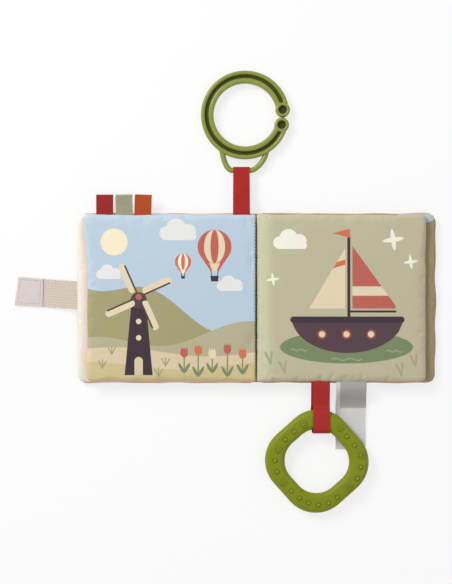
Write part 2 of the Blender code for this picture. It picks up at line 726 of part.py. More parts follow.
def build_teether(web_joint, joint):
    """The teether ring, the ribbon folded round it, and the ribbon's free stretch."""
    bm = bmesh.new()
    loops = []
    for reach, flat in ((TEETHER_OUTER_REACH, TEETHER_OUTER_FLAT),
                        (TEETHER_INNER_REACH, TEETHER_INNER_FLAT)):
        verts = [bm.verts.new((x, y, 0)) for x, y in rounded_diamond(reach, flat)]
        loops += [bm.edges.new(pair) for pair in zip(verts, verts[1:] + verts[:1])]
    faces = bmesh.ops.bridge_loops(bm, edges=loops)["faces"]
    grown = bmesh.ops.extrude_face_region(bm, geom=faces)["geom"]
    moved = [item for item in grown if isinstance(item, bmesh.types.BMVert)]
    bmesh.ops.translate(bm, vec=(0, 0, TEETHER_THICK), verts=moved)
    bmesh.ops.recalc_face_normals(bm, faces=bm.faces)
    rims = [edge for edge in bm.edges if len(edge.link_faces) == 2
            and abs(edge.calc_face_angle(0) - pi / 2) < RIM_ANGLE_LEEWAY]
    bmesh.ops.bevel(bm, geom=rims, offset=TEETHER_ROUND, segments=3, profile=0.5, affect="EDGES",
                    material=-1)
    tilt_teether(bm)
    new_object("teether_ring", bm, "teether_green", joint)

    back, room = hinge_back(RIBBON_STACK)
    rim = TEETHER_CENTRE[1] + TEETHER_OUTER_REACH
    flex_flat = rim + TEETHER_HUG + RIBBON_THICK + TEETHER_WEB_SPACE + TEETHER_NECK
    near = TEETHER_NECK + TEETHER_WEB_SPACE + RIBBON_THICK / 2
    far = near + RIBBON_THICK + TEETHER_WRAP
    high = TEETHER_THICK / 2 + TEETHER_HUG + RIBBON_THICK / 2
    bend = TEETHER_ROUND + TEETHER_HUG + RIBBON_THICK / 2
    offset = (RIBBON_THICK + FOLD_GAP) / 2
    half = [(-back, offset), (TEETHER_NECK, offset)]
    half += arc((near + bend, high - bend), bend, TEETHER_WRAP_START, pi / 2, 3)
    half += arc((far - bend, high - bend), bend, pi / 2, 0, 4)
    path = half + [(u, -w) for u, w in half[::-1]]
    start = (flex_flat, TEETHER_THICK / 2)
    bm = swept_strip(turned(path, start, 0, -1), RIBBON_THICK, across(TEETHER_RIBBON_X, RIBBON_WIDTH))
    tilt_teether(bm)
    new_object("teether_ribbon_loop", bm, "red_ribbon", joint)

    flex = Vector(teether_flex_line())
    seam = Vector((-HEM_LINE, LEAF_SEAM))
    along = (flex - seam).normalized()
    web = swept_strip((seam - along * back, flex - along * room), RIBBON_STACK,
                      across(TEETHER_RIBBON_X, RIBBON_WIDTH))
    new_object("teether_ribbon_web", web, "red_ribbon", web_joint)


def offset_path(path, distance):
    """A path moved square to itself."""
    points = [Vector(p) for p in path]
    moved = []
    for i, point in enumerate(points):
        along = (points[min(i + 1, len(points) - 1)] - points[max(i - 1, 0)]).normalized()
        moved.append(point + Vector((-along.y, along.x)) * distance)
    return moved


def build_label(joint):
    """Two thin leaves that drop from the foot seam to the table and run out under the teether."""
    back, _ = hinge_back(LABEL_STACK)
    flat_height = LABEL_STACK / 2 + GAP
    fall = LEAF_SEAM - flat_height
    path = [(-HEM_LINE + back, LEAF_SEAM)]
    for i in range(LABEL_DROP_STEPS + 1):
        t = i / LABEL_DROP_STEPS
        ease = t * t * (3 - 2 * t)
        path.append((-HEM_LINE - t * LABEL_DROP_RUN, LEAF_SEAM - fall * ease))
    path.append((-HEM_LINE - LABEL_LENGTH, flat_height))
    shift = (LABEL_THICK + FOLD_GAP) / 2
    for name, distance, sideways in (("label_front", -shift, LABEL_SHIFT / 2),
                                     ("label_back", shift, -LABEL_SHIFT / 2)):
        bm = swept_strip(offset_path(path, distance), LABEL_THICK, across(LABEL_X, LABEL_WIDTH))
        bmesh.ops.translate(bm, vec=(sideways, 0, 0), verts=bm.verts)
        new_object(name, bm, "label", joint)


def strap_piece(name, colour, joint, start, end, thickness):
    """A flat length of strap along -X between two points of X and Z, leaning a little towards +Y."""
    bm = swept_strip((start, end), thickness, across(STRAP_Y, STRAP_WIDTH))
    swap = Matrix(((0, 1, 0), (1, 0, 0), (0, 0, 1)))
    bmesh.ops.transform(bm, matrix=swap.to_4x4(), verts=bm.verts)
    for vert in bm.verts:
        vert.co.y += STRAP_LEAN * (-vert.co.x - STRAP_LINE)
    new_object(name, bm, colour, joint, smooth=False)


def build_strap(web_joint, tip_joint):
    """The closure strap: a sloping stretch of webbing, then the tip with its hook patch."""
    back, room = hinge_back(STRAP_THICK)
    seam = Vector((-STRAP_LINE, COVER_SEAM))
    bend = Vector((-STRAP_TIP_LINE, STRAP_TIP_HEIGHT))
    along = (bend - seam).normalized()
    strap_piece("strap_web", "webbing", web_joint, seam - along * back, bend - along * room, STRAP_THICK)
    tip_end = -STRAP_TIP_LINE - STRAP_TIP_LENGTH
    strap_piece("strap_tip", "webbing", tip_joint, (bend.x + back, bend.y), (tip_end, bend.y), STRAP_THICK)
    patch_height = STRAP_THICK + GAP + HOOK_THICK / 2
    strap_piece("strap_hook_patch", "fastener", tip_joint, (bend.x - HOOK_INSET, patch_height),
                (tip_end, patch_height), HOOK_THICK)


def main():
    for obj in list(bpy.data.objects):
        bpy.data.objects.remove(obj, do_unlink=True)

    root = joint_empty("back_cover_frame", (0, 0, 0))
    fold = (0, 0, FOLD_HEIGHT)
    front = joint_empty("cover_fold", fold, root)
    left = joint_empty("left_leaf_turn", fold, front)
    right = joint_empty("right_leaf_turn", fold, root)
    strap_bend = joint_empty("strap_bend", (-STRAP_LINE, STRAP_Y, COVER_SEAM), front)
    strap_tip = joint_empty("strap_tip_bend", (-STRAP_TIP_LINE, STRAP_Y, STRAP_TIP_HEIGHT), strap_bend)
    tags = [joint_empty(f"tag_{name}_bend", (x, HEM_LINE, LEAF_SEAM), left)
            for name, x in zip(TAG_NAMES, TAG_X)]
    ring_ribbon = joint_empty("ring_ribbon_swing", (RING_RIBBON_X, HEM_LINE, LEAF_SEAM), left)
    ring = joint_empty("ring_swing", (RING_RIBBON_X, *D_BAR), ring_ribbon)
    web = joint_empty("teether_ribbon_swing", (TEETHER_RIBBON_X, -HEM_LINE, LEAF_SEAM), right)
    teether = joint_empty("teether_flex", (TEETHER_RIBBON_X, *teether_flex_line()), web)
    label = joint_empty("label_swing", (LABEL_X, -HEM_LINE, LEAF_SEAM), right)

    build_covers(root, front)
    build_leaves(left, right)
    build_gutter(root)
    build_tags(tags)
    path = ribbon_loop_path((HEM_LINE, LEAF_SEAM), D_BAR)
    loop = swept_strip(path, RIBBON_THICK, across(RING_RIBBON_X, RIBBON_WIDTH))
    new_object("ring_ribbon_loop", loop, "red_ribbon", ring_ribbon)
    build_ring(ring)
    build_teether(web, teether)
    build_label(label)
    build_strap(strap_bend, strap_tip)


main()
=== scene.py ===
"""Crinkle cloth book with its ring, teether, label, tags and strap, dressed over its CAD frame."""

import json
from functools import reduce
from math import acos, asin, atan2, copysign, cos, hypot, pi, radians, sin, sqrt

import bmesh
import bpy
from bpy.props import FloatProperty, FloatVectorProperty, IntProperty, PointerProperty
from mathutils import Matrix, Vector, noise


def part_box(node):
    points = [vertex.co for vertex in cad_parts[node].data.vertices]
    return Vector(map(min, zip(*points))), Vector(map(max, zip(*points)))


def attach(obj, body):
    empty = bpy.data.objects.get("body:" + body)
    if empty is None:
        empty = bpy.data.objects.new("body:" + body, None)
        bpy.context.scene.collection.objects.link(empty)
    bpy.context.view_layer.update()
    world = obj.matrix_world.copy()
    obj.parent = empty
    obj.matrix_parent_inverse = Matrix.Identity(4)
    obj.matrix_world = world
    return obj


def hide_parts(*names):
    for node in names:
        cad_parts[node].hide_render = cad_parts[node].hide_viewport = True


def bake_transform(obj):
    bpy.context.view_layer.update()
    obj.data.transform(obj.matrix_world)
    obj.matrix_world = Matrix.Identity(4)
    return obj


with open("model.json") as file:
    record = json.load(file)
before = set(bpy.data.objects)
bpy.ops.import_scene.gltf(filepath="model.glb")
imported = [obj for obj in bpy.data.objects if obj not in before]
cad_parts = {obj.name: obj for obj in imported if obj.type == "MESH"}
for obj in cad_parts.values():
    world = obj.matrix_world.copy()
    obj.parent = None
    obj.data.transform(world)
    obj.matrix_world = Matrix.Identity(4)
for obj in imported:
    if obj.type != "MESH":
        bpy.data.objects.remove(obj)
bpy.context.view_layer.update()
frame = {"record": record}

bl_info = {
    "name": "Crinkle cloth book",
    "version": (1, 0, 0),
    "blender": (4, 5, 0),
    "location": "3D View > Sidebar > Cloth book",
    "description": "Builds the padded pages, ribbons, ring, teether, label and strap of a cloth book",
    "category": "Object",
}

MM = 0.001
JOINTS = {joint["name"]: Vector(joint["pos_m"]) for joint in frame["record"]["behaviour"]["joints"]}
FOLD_HEIGHT = JOINTS["cover_fold"].z


def node_span(*names):
    """The lowest and highest corner of several CAD nodes together."""
    boxes = [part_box(name) for name in names]
    low = Vector([min(box[0][axis] for box in boxes) for axis in range(3)])
    high = Vector([max(box[1][axis] for box in boxes) for axis in range(3)])
    return low, high


def linear(code):
    """A screen colour such as 'c1d4e3' in the linear values that nodes use."""
    shares = [int(code[i:i + 2], 16) / 255 for i in (0, 2, 4)]
    return tuple(s / 12.92 if s <= 0.04045 else ((s + 0.055) / 1.055) ** 2.4 for s in shares)


def smooth(value, low=0.0, high=1.0):
    """Eased step from 0 at low to 1 at high."""
    share = min(max((value - low) / (high - low), 0.0), 1.0)
    return share * share * (3 - 2 * share)


class Wire:
    """A number in a material. Sums written with it add Math nodes."""

    def __init__(self, drawing, socket):
        self.drawing = drawing
        self.socket = socket

    def __abs__(self):
        return self.drawing.maths("ABSOLUTE", self)


def sum_method(operation, reflected):
    """One of Wire's signs. The other number comes first where the wire stands behind the sign."""
    def method(self, other):
        return self.drawing.maths(operation, *((other, self) if reflected else (self, other)))
    return method


for sign, operation in (("add", "ADD"), ("sub", "SUBTRACT"), ("mul", "MULTIPLY"), ("truediv", "DIVIDE")):
    setattr(Wire, f"__{sign}__", sum_method(operation, False))
    setattr(Wire, f"__r{sign}__", sum_method(operation, True))


class Drawing:
    """Node maths in one tree, and the shapes of masks, drawn over the millimetres in self.x and self.y."""

    def __init__(self, tree):
        self.tree = tree

    def give(self, socket, value):
        """Links a wire or an output to a socket, or sets its number, vector or colour."""
        if isinstance(value, Wire):
            value = value.socket
        if isinstance(value, bpy.types.NodeSocket):
            self.tree.links.new(value, socket)
            return
        if isinstance(value, str):
            value = linear(value)
        socket.default_value = (*value, 1.0) if socket.type == "RGBA" else value

    def node(self, kind, settings=(), inputs=()):
        """Any node: its settings first, then the values or links of its sockets."""
        made = self.tree.nodes.new(kind)
        for setting, value in dict(settings).items():
            setattr(made, setting, value)
        for key, value in dict(inputs).items():
            self.give(made.inputs[key], value)
        return made

    def maths(self, operation, *values, clamp=False):
        settings = {"operation": operation, "use_clamp": clamp}
        return Wire(self, self.node("ShaderNodeMath", settings, enumerate(values)).outputs[0])

    def least(self, *values):
        return reduce(lambda kept, value: self.maths("MINIMUM", kept, value), values)

    def most(self, *values):
        return reduce(lambda kept, value: self.maths("MAXIMUM", kept, value), values)

    def sine(self, value):
        return self.maths("SINE", value)

    def wave(self, value, pitch):
        """From -1 to 1 and back, once in every pitch."""
        return self.sine(value * (2 * pi / pitch))

    def ribs(self, value, pitch):
        """From 0 to 1 and back, once in every pitch."""
        return self.wave(value, pitch) * 0.5 + 0.5

    def length(self, x, y):
        return self.maths("SQRT", x * x + y * y)

    def away(self, at):
        """How far a point of the surface lies from a place."""
        return self.length(self.x - at[0], self.y - at[1])

    def within(self, distance, edge=0.35):
        """1 where a signed distance in millimetres is below 0, with a thin soft rim."""
        return self.maths("MULTIPLY_ADD", distance, -1 / edge, 0.5, clamp=True)

    def stencil(self, name, draw, *values):
        """A shape drawn once as a node group of its own and used wherever it is called for."""
        values = (self.x, self.y, *values)
        group = bpy.data.node_groups.get(name)
        if group is None:
            group = bpy.data.node_groups.new(name, "ShaderNodeTree")
            for number in range(len(values)):
                group.interface.new_socket(name=f"Value {number}", in_out="INPUT", socket_type="NodeSocketFloat")
            group.interface.new_socket(name="Mask", in_out="OUTPUT", socket_type="NodeSocketFloat")
            inner = Drawing(group)
            inner.x, inner.y, *given = [Wire(inner, output)
                                        for output in inner.node("NodeGroupInput").outputs[:len(values)]]
            inner.node("NodeGroupOutput", (), {0: draw(inner, *given)})
        made = self.node("ShaderNodeGroup", {"node_tree": group}, enumerate(values))
        return Wire(self, made.outputs[0])

    def disc(self, at, radius):
        def draw(inner, at_x, at_y, radius):
            return inner.within(inner.away((at_x, at_y)) - radius)
        return self.stencil("disc", draw, *at, radius)

    def oval(self, at, radii, turn=0.0):
        def draw(inner, at_x, at_y, wide, tall, cosine, sinus):
            over, up = inner.x - at_x, inner.y - at_y
            across, along = over * cosine + up * sinus, up * cosine - over * sinus
            return inner.within((inner.length(across / wide, along / tall) - 1.0) * inner.least(wide, tall))
        return self.stencil("oval", draw, *at, *radii, cos(turn), sin(turn))

    def polygon(self, *corners):
        """A convex patch whose corners are listed anticlockwise."""
        def draw(inner, *flat):
            pairs = list(zip(flat[::2], flat[1::2]))
            sides = []
            for (x0, y0), (x1, y1) in zip(pairs, pairs[1:] + pairs[:1]):
                run_x, run_y = x1 - x0, y1 - y0
                sides.append(((inner.x - x0) * run_y - (inner.y - y0) * run_x) / inner.length(run_x, run_y))
            return inner.within(inner.most(*sides))
        return self.stencil(f"patch_of_{len(corners)}", draw, *sum(corners, ()))

    def tapered(self, middle, foot, head):
        """A patch alike on both sides of an upright line: the height and half width of its two ends."""
        (low, low_half), (high, high_half) = foot, head
        return self.polygon((middle - low_half, low), (middle + low_half, low),
                            (middle + high_half, high), (middle - high_half, high))

    def stroke(self, start, end, width):
        """A round-ended line of a drawing."""
        def draw(inner, x0, y0, x1, y1, width):
            run_x, run_y = x1 - x0, y1 - y0
            over, up = inner.x - x0, inner.y - y0
            along = (over * run_x + up * run_y) / (run_x * run_x + run_y * run_y)
            share = inner.least(inner.most(along, 0.0), 1.0)
            return inner.within(inner.length(over - share * run_x, up - share * run_y) - width / 2)
        return self.stencil("stroke", draw, *start, *end, width)

    def blade(self, foot, length, lean, width):
        """A stroke that stands up from its foot, leaning by an angle."""
        return self.stroke(foot, (foot[0] + length * sin(lean), foot[1] + length * cos(lean)), width)


class Finish(Drawing):
    """One procedural material. Colours are given as screen codes such as 'c1d4e3'."""

    def __init__(self, name, roughness, specular, sheen=0.0, coat=0.0, subsurface=0.0):
        self.material = bpy.data.materials.new(name)
        self.material.use_nodes = True
        super().__init__(self.material.node_tree)
        self.shader = self.tree.nodes["Principled BSDF"]
        for key, value in (("Roughness", roughness), ("Sheen Weight", sheen), ("Specular IOR Level", specular),
                           ("Coat Weight", coat), ("Coat Roughness", 0.25), ("Subsurface Weight", subsurface),
                           ("Subsurface Scale", 2 * MM)):
            self.shader.inputs[key].default_value = value

    def place(self, attribute=None):
        """X, Y and Z in millimetres, of the object's own space or of a mesh attribute."""
        if attribute:
            source = self.node("ShaderNodeAttribute", {"attribute_name": attribute}).outputs["Vector"]
        else:
            source = self.node("ShaderNodeTexCoord").outputs["Object"]
        self.spot = self.shaded(source, 1 / MM)
        parts = self.node("ShaderNodeSeparateXYZ", (), {0: self.spot})
        self.x, self.y, self.z = [Wire(self, output) for output in parts.outputs]
        return self.x, self.y, self.z

    def cloud(self, scale, detail=2.0, roughness=0.5):
        """Soft noise from 0 to 1 over the last place asked for; scale is in waves per millimetre."""
        inputs = {"Vector": self.spot, "Scale": scale, "Detail": detail, "Roughness": roughness}
        return Wire(self, self.node("ShaderNodeTexNoise", (), inputs).outputs[0])

    def mixed(self, share, first, second):
        """One colour over another."""
        settings = {"data_type": "RGBA", "clamp_factor": True}
        return self.node("ShaderNodeMix", settings, {0: share, 6: first, 7: second}).outputs[2]

    def painted(self, ground, *layers):
        """A ground colour with masks and their colours laid over it in order."""
        return reduce(lambda below, layer: self.mixed(layer[0], below, layer[1]), layers, ground)

    def shaded(self, colour, share):
        """A colour or a vector times a number."""
        inputs = {0: colour, "Scale": share}
        return self.node("ShaderNodeVectorMath", {"operation": "SCALE"}, inputs).outputs[0]

    def finish(self, colour, height, strength, distance, roughness=None):
        """Joins colour, bump height (0 to 1) and roughness to the shader."""
        bump = {"Height": height, "Strength": strength, "Distance": distance}
        links = {"Base Color": colour, "Normal": self.node("ShaderNodeBump", (), bump).outputs[0],
                 "Roughness": roughness}
        for key, value in links.items():
            if value is not None:
                self.give(self.shader.inputs[key], value)
        return self.material


def new_piece(name, bm, *materials):
    """A bmesh as a smooth-shaded object at the origin, with its materials in their slots."""
    mesh = bpy.data.meshes.new(name)
    bm.to_mesh(mesh)
    bm.free()
    for material in materials:
        mesh.materials.append(material)
    mesh.shade_smooth()
    obj = bpy.data.objects.new(name, mesh)
    bpy.context.scene.collection.objects.link(obj)
    return obj


def declared(obj, motion, slot, *nodes):
    """Attaches a piece to the body it rides on, or bakes its place where it lies between two bodies, and hides its
    CAD nodes. The slot is not used.
    """
    if isinstance(motion, str):
        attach(obj, motion)
    else:
        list(motion)
        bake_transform(obj)
    if nodes:
        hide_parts(*nodes)


def ripple(x, y, z, spacing):
    """Seeded noise from -1 to 1 that turns over in about that many metres."""
    return noise.noise(Vector((x, y, z)) / spacing)


class PadShape:
    """One sewn pad: a rounded rectangle of two cloths that meet in a seam all round.

    The side next to the gutter has corners, a rounding and a seam height of its own."""

    def __init__(self, low, high, outward, outer, inner):
        self.low = low
        self.high = high
        self.middle = (low + high) / 2
        self.half = (high - low) / 2
        self.outward = outward
        self.outer = outer
        self.inner = inner
        self.seam = self.seam_height(outer["seam_share"])

    def seam_height(self, share):
        return self.low.z + (self.high.z - self.low.z) * share

    def corner(self, x):
        return (self.outer if (x - self.middle.x) * self.outward > 0 else self.inner)["corner"]

    def from_gutter(self, x):
        """How far a place lies from the pad's gutter side."""
        return self.half.x + (x - self.middle.x) * self.outward

    def side_value(self, key, x, distance):
        """A value of the gutter side where that side is the nearest, and of the others elsewhere."""
        share = smooth(self.from_gutter(x) - distance, 0.0, 4 * MM)
        return self.inner[key] + (self.outer[key] - self.inner[key]) * share

    def past_corner(self, x, y):
        """A corner's radius, and how far a place lies beyond that corner's centre each way."""
        corner = self.corner(x)
        return (corner, abs(x - self.middle.x) - (self.half.x - corner),
                abs(y - self.middle.y) - (self.half.y - corner))

    def outline(self, u, v):
        """A place of a square grid, from -1 to 1 each way, carried to the rounded rectangle."""
        reach = max(abs(u), abs(v), 1e-9)
        x, y = u / reach * self.half.x, v / reach * self.half.y
        corner, over_x, over_y = self.past_corner(self.middle.x + x, self.middle.y + y)
        if over_x > 0 and over_y > 0:
            turn = pi / 4 * over_y / over_x if over_x >= over_y else pi / 2 - pi / 4 * over_x / over_y
            x = copysign(self.half.x - corner + corner * cos(turn), x)
            y = copysign(self.half.y - corner + corner * sin(turn), y)
        return self.middle.x + x * reach, self.middle.y + y * reach

    def edge_distance(self, x, y):
        """How far inside the outline a place lies."""
        corner, over_x, over_y = self.past_corner(x, y)
        outside = hypot(max(over_x, 0.0), max(over_y, 0.0))
        return max(corner - outside - min(max(over_x, over_y), 0.0), 0.0)

    def heights(self, x, y):
        """Upper and lower face at a place, before the cloth swells."""
        distance = self.edge_distance(x, y)
        seam = self.seam_height(self.side_value("seam_share", x, distance))

        def face(end, key):
            near = 1 - min(distance / self.side_value(key, x, distance), 1.0)
            return seam + (end - seam) * sqrt(max(1 - near ** 2.2, 0.0))
        return face(self.high.z, "roll"), face(self.low.z, "under_roll")


def sewn_pad(name, shape, spacing, materials):
    """Two cloth faces joined along their rim. The lower face takes the second material."""
    bm = bmesh.new()
    columns, rows = int(2 * shape.half.x / spacing), int(2 * shape.half.y / spacing)
    bmesh.ops.create_grid(bm, x_segments=columns, y_segments=rows, size=1.0)
    twin = bmesh.ops.duplicate(bm, geom=[*bm.verts, *bm.edges, *bm.faces])["geom"]
    lower_faces = [item for item in twin if isinstance(item, bmesh.types.BMFace)]
    bmesh.ops.reverse_faces(bm, faces=lower_faces)
    for face in lower_faces:
        face.material_index = 1
    lower_verts = {vert for face in lower_faces for vert in face.verts}
    for vert in bm.verts:
        x, y = shape.outline(vert.co.x, vert.co.y)
        upper, lower = shape.heights(x, y)
        vert.co = (x, y, lower if vert in lower_verts else upper)
    rim = [vert for vert in bm.verts if vert.is_boundary]
    bmesh.ops.remove_doubles(bm, verts=rim, dist=spacing / 20)
    return new_piece(name, bm, *materials)


def puff(obj, shape):
    """Lets the pad swell as cloth under pressure, its seam held, and keeps the result."""
    scene = bpy.context.scene
    pad = scene.cloth_book.pads
    start = [vert.co.copy() for vert in obj.data.vertices]
    held = obj.vertex_groups.new(name="seam")
    held.add([i for i, place in enumerate(start) if shape.edge_distance(place.x, place.y) < pad.spacing / 4],
             1.0, "REPLACE")
    cloth = obj.modifiers.new("Swell", "CLOTH")
    for key, value in {
        "quality": 6, "mass": 0.2, "tension_stiffness": 12, "compression_stiffness": 12, "shear_stiffness": 4,
        "bending_stiffness": 0.4, "use_pressure": True, "uniform_pressure_force": pad.pressure,
        "shrink_min": -0.012, "vertex_group_mass": "seam",
    }.items():
        setattr(cloth.settings, key, value)
    cloth.settings.effector_weights.gravity = 0
    cloth.collision_settings.use_collision = False
    cloth.point_cache.frame_start = 1
    cloth.point_cache.frame_end = pad.frames
    for frame_number in range(1, pad.frames + 1):
        scene.frame_set(frame_number)
    evaluated = obj.evaluated_get(bpy.context.evaluated_depsgraph_get())
    moves = [vert.co - before for vert, before in zip(evaluated.to_mesh().vertices, start)]
    evaluated.to_mesh_clear()
    obj.modifiers.remove(cloth)
    scene.frame_set(1)
    for vert, before, move in zip(obj.data.vertices, start, moves):
        vert.co = before + move * min(pad.cap / max(move.length, 1e-12), 1.0)


def rest_between(obj, low, high, ease):
    """Keeps a pad's faces over what it lies on and under what lies on it, without a hard edge."""
    for vert in obj.data.vertices:
        for bound, side in ((high, 1), (low, -1)):
            past = 1 + side * (vert.co.z - bound) / ease
            if past > 0:
                vert.co.z = bound - side * ease / (1 + past)


def creased(obj, shape, creases):
    """Presses drawn creases into the upper face."""
    for vert in obj.data.vertices:
        if vert.co.z < shape.seam:
            continue
        fall = 0.0
        for (x, y), heading, length, width, depth in creases:
            over, up, turn = vert.co.x - x * MM, vert.co.y - y * MM, radians(heading)
            share = (over * cos(turn) + up * sin(turn)) / (length * MM)
            ridge = (up * cos(turn) - over * sin(turn)) / (width * MM)
            if 0 < share < 1:
                fade = sin(pi * share ** 0.6) * (1 - share) ** 0.4
                profile = -1 / (1 + (ridge * 2.2) ** 4) + 0.55 / (1 + ((abs(ridge) - 1) * 2.4) ** 4)
                fall += 1.9 * depth * MM * fade * profile
        vert.co.z += fall


def puckered(obj, shape, depth, spacing, reach, seed):
    """Small gathers square to the seams, as where two cloths were sewn and turned."""
    for vert in obj.data.vertices:
        x, y = vert.co.x, vert.co.y
        distance = shape.edge_distance(x, y)
        beside_end = shape.half.x - abs(x - shape.middle.x) < shape.half.y - abs(y - shape.middle.y)
        fade = smooth(distance, 0.0, reach * 0.12) * (1 - smooth(distance, reach * 0.25, reach))
        wave = ripple(y if beside_end else x, seed, distance * 0.25, spacing)
        vert.co.z += (1 if vert.co.z > shape.seam else -1) * depth * fade * wave


def wavered(obj, shape, amount, spacing, reach, seed):
    """A sewn edge that isn't quite straight: the outline runs in and out a little."""
    for vert in obj.data.vertices:
        x, y = vert.co.x, vert.co.y
        fade = 1 - smooth(shape.edge_distance(x, y), 0.0, reach)
        if shape.from_gutter(x) > shape.half.x:
            vert.co.x += amount * fade * ripple(seed, y, 0.0, spacing) * shape.outward
        vert.co.y += amount * 0.6 * fade * ripple(x, seed, 0.5, spacing)


def undulated(obj, shape, depth, seed):
    """The upper cloth lies in shallow hollows over the wadding."""
    for vert in obj.data.vertices:
        if vert.co.z > shape.seam:
            x, y = vert.co.x, vert.co.y
            fade = smooth(shape.edge_distance(x, y), 1 * MM, 18 * MM)
            wave = 0.5 - 0.6 * ripple(x, y, seed, 0.036) - 0.22 * ripple(x, y, seed + 1, 0.013)
            vert.co.z -= depth * fade * max(wave, 0.0)


def dipped_at_gutter(obj, shape, share):
    """The picture face stands up beside the gutter and dips a finger's breadth further out."""
    for vert in obj.data.vertices:
        if vert.co.z > shape.seam:
            out = abs(vert.co.x)
            dip = smooth(out, 8.5 * MM, 15 * MM) * (1 - smooth(out, 15 * MM, 28 * MM))
            vert.co.z -= share * (0.8 + 0.5 * ripple(vert.co.y, 3.0, 0.0, 0.03)) * 1.1 * MM * dip


def flared(obj):
    """The free edge of the left leaf runs out a little towards its upper corner."""
    for vert in obj.data.vertices:
        high, out = smooth(vert.co.y, 0.022, 0.075), smooth(-vert.co.x, 0.116, 0.142)
        vert.co.x -= 3.6 * MM * high * out


def bedded(obj, shape, low, high):
    """A shallow bed in the underside, where a patch with these corners is sewn."""
    for vert in obj.data.vertices:
        if vert.co.z <= shape.seam:
            inside = min(vert.co.x - low.x, high.x - vert.co.x, vert.co.y - low.y, high.y - vert.co.y)
            lift = smooth(inside, -4 * MM, -1.2 * MM)
            vert.co.z = max(vert.co.z, vert.co.z * (1 - lift) + (high.z + 0.2 * MM) * lift)


def printed_cloth(name, colour_of, pitch=0.42, roughness=0.82, mottle=0.05):
    """Printed polyester: the drawing, a little uneven in tone, over a fine weave and soft creases."""
    finish = Finish(name, roughness=roughness, sheen=0.18, specular=0.3)
    x, y = finish.place()[:2]
    drawn = colour_of(finish, x, y)
    warp, weft = finish.wave(x, pitch), finish.wave(y, pitch)
    over = finish.wave(x, 2 * pitch) * finish.wave(y, 2 * pitch)
    weave = (warp * warp * (over * 0.5 + 0.5) + weft * weft * (0.5 - over * 0.5)) * 0.9
    tone = finish.cloud(0.045, 3.0) * mottle + finish.cloud(1.4) * 0.035
    colour = finish.shaded(drawn, tone + weave * 0.035 + (1.0 - mottle / 2 - 0.035))
    height = weave * 0.35 + finish.cloud(0.16, 3.0, 0.6) * 1.6
    rough = finish.cloud(0.5, 1.0) * 0.12 + (roughness - 0.06)
    return finish.finish(colour, height, strength=0.35, distance=0.4 * MM, roughness=rough)


def ribbon_cloth(name, code, roughness=0.62):
    """Grosgrain ribbon: ribs square to its length, a tight selvedge along both sides."""
    finish = Finish(name, roughness=roughness, sheen=0.04, specular=0.32)
    across, along, inside = finish.place("lie")
    finish.place("rest")
    ribs, thread = finish.ribs(along, 0.62), finish.ribs(across, 0.34)
    edge = finish.within(0.7 - inside, 0.3)
    shade = finish.cloud(0.25) * 0.16 + ribs * 0.10 + 0.79
    height = ribs * (1.0 - edge * 0.8) + thread * 0.25 + edge * 0.3
    return finish.finish(finish.shaded(code, shade * (1.0 - edge * 0.14)), height, strength=0.5,
                         distance=0.18 * MM, roughness=ribs * 0.08 + (roughness - 0.04))


def webbing_cloth(name):
    """Woven cotton tape of the strap: slanting twill cords, with the light and shade of their relief painted in a
    dark and a light beige.
    """
    finish = Finish(name, roughness=0.9, sheen=0.2, specular=0.2)
    across, along, inside = finish.place("lie")
    finish.place("rest")
    row = finish.sine(across * (2 * pi / 2.3) + finish.wave(along, 8.0) * 0.9)
    pattern = finish.wave(along, 3.0) * row * 0.42 + row * 0.14 + 0.5
    fuzz = finish.cloud(1.6, 3.0)
    share = finish.least(finish.most(pattern * 1.35 - 0.2 + fuzz * 0.25, 0.0), 1.0)
    # The twill pattern is the tape's own; its dark and light beige are painted shade and painted highlight.
    colour = finish.mixed(share, "baa28e", "f6ece2")
    colour = finish.mixed(finish.within(0.9 - inside, 0.4) * 0.5, colour, "cdbcae")
    return finish.finish(colour, pattern + fuzz * 0.3, strength=0.8, distance=0.4 * MM)


def fastener_cloth(name, code, loops):
    """Touch fastener: a mat of tiny loops, or rows of hooks, with a stitched border."""
    finish = Finish(name, roughness=0.95, sheen=0.35, specular=0.2)
    inside = finish.place("lie")[2]
    x, y = finish.place("rest")[:2]
    mat = finish.cloud(1.1, 4.0, 0.7)
    hooks = finish.wave(x, 1.1) * finish.wave(y, 1.1) * 0.5 + 0.5
    line = finish.within(abs(inside - 2.3) - 0.32, 0.2)
    border = line * finish.within(0.2 - finish.wave(x + y, 2.4), 0.4)
    colour = finish.shaded(code, mat * 0.22 + finish.cloud(0.22) * 0.12 + 0.84)
    height = (mat if loops else mat * 0.5 + hooks * 0.6) - line * 0.7 + border * 0.4
    return finish.finish(finish.mixed(border * 0.55, colour, "b9aaa2"), height, strength=0.85, distance=0.4 * MM)


def label_cloth(name, printed):
    """Satin label: white, with a plain grey block at its sewn end where it is printed."""
    finish = Finish(name, roughness=0.42, sheen=0.1, specular=0.45)
    across, along = finish.place("lie")[:2]
    satin, thread = finish.ribs(along, 0.5), finish.ribs(across, 0.3)
    tone = finish.cloud(0.3) * 0.06 + satin * 0.03 + 0.93
    colour = finish.mixed(finish.within(along - 27.8, 0.3), "dcdbda", "aeacaa") if printed else "dcdbda"
    return finish.finish(finish.shaded(colour, tone), satin * 0.6 + thread * 0.4, strength=0.3,
                         distance=0.12 * MM)


def thread_finish(name, code):
    """Sewing thread, twisted."""
    finish = Finish(name, roughness=0.7, sheen=0.2, specular=0.35)
    x, y, z = finish.place()
    twist = finish.ribs(x + y * 2.0 + z, 0.35)
    return finish.finish(finish.shaded(code, twist * 0.35 + 0.75), twist, strength=0.5, distance=0.1 * MM)


CORAL, ORANGE, CREAM, LEAF_GREEN, PLUM, DARK_PLUM = "c6675a", "dd7652", "ecdcba", "7e8f68", "59444b", "42343d"
OUTER_CLOTH, WARM_WHITE = "dca588", "fdf8e9"


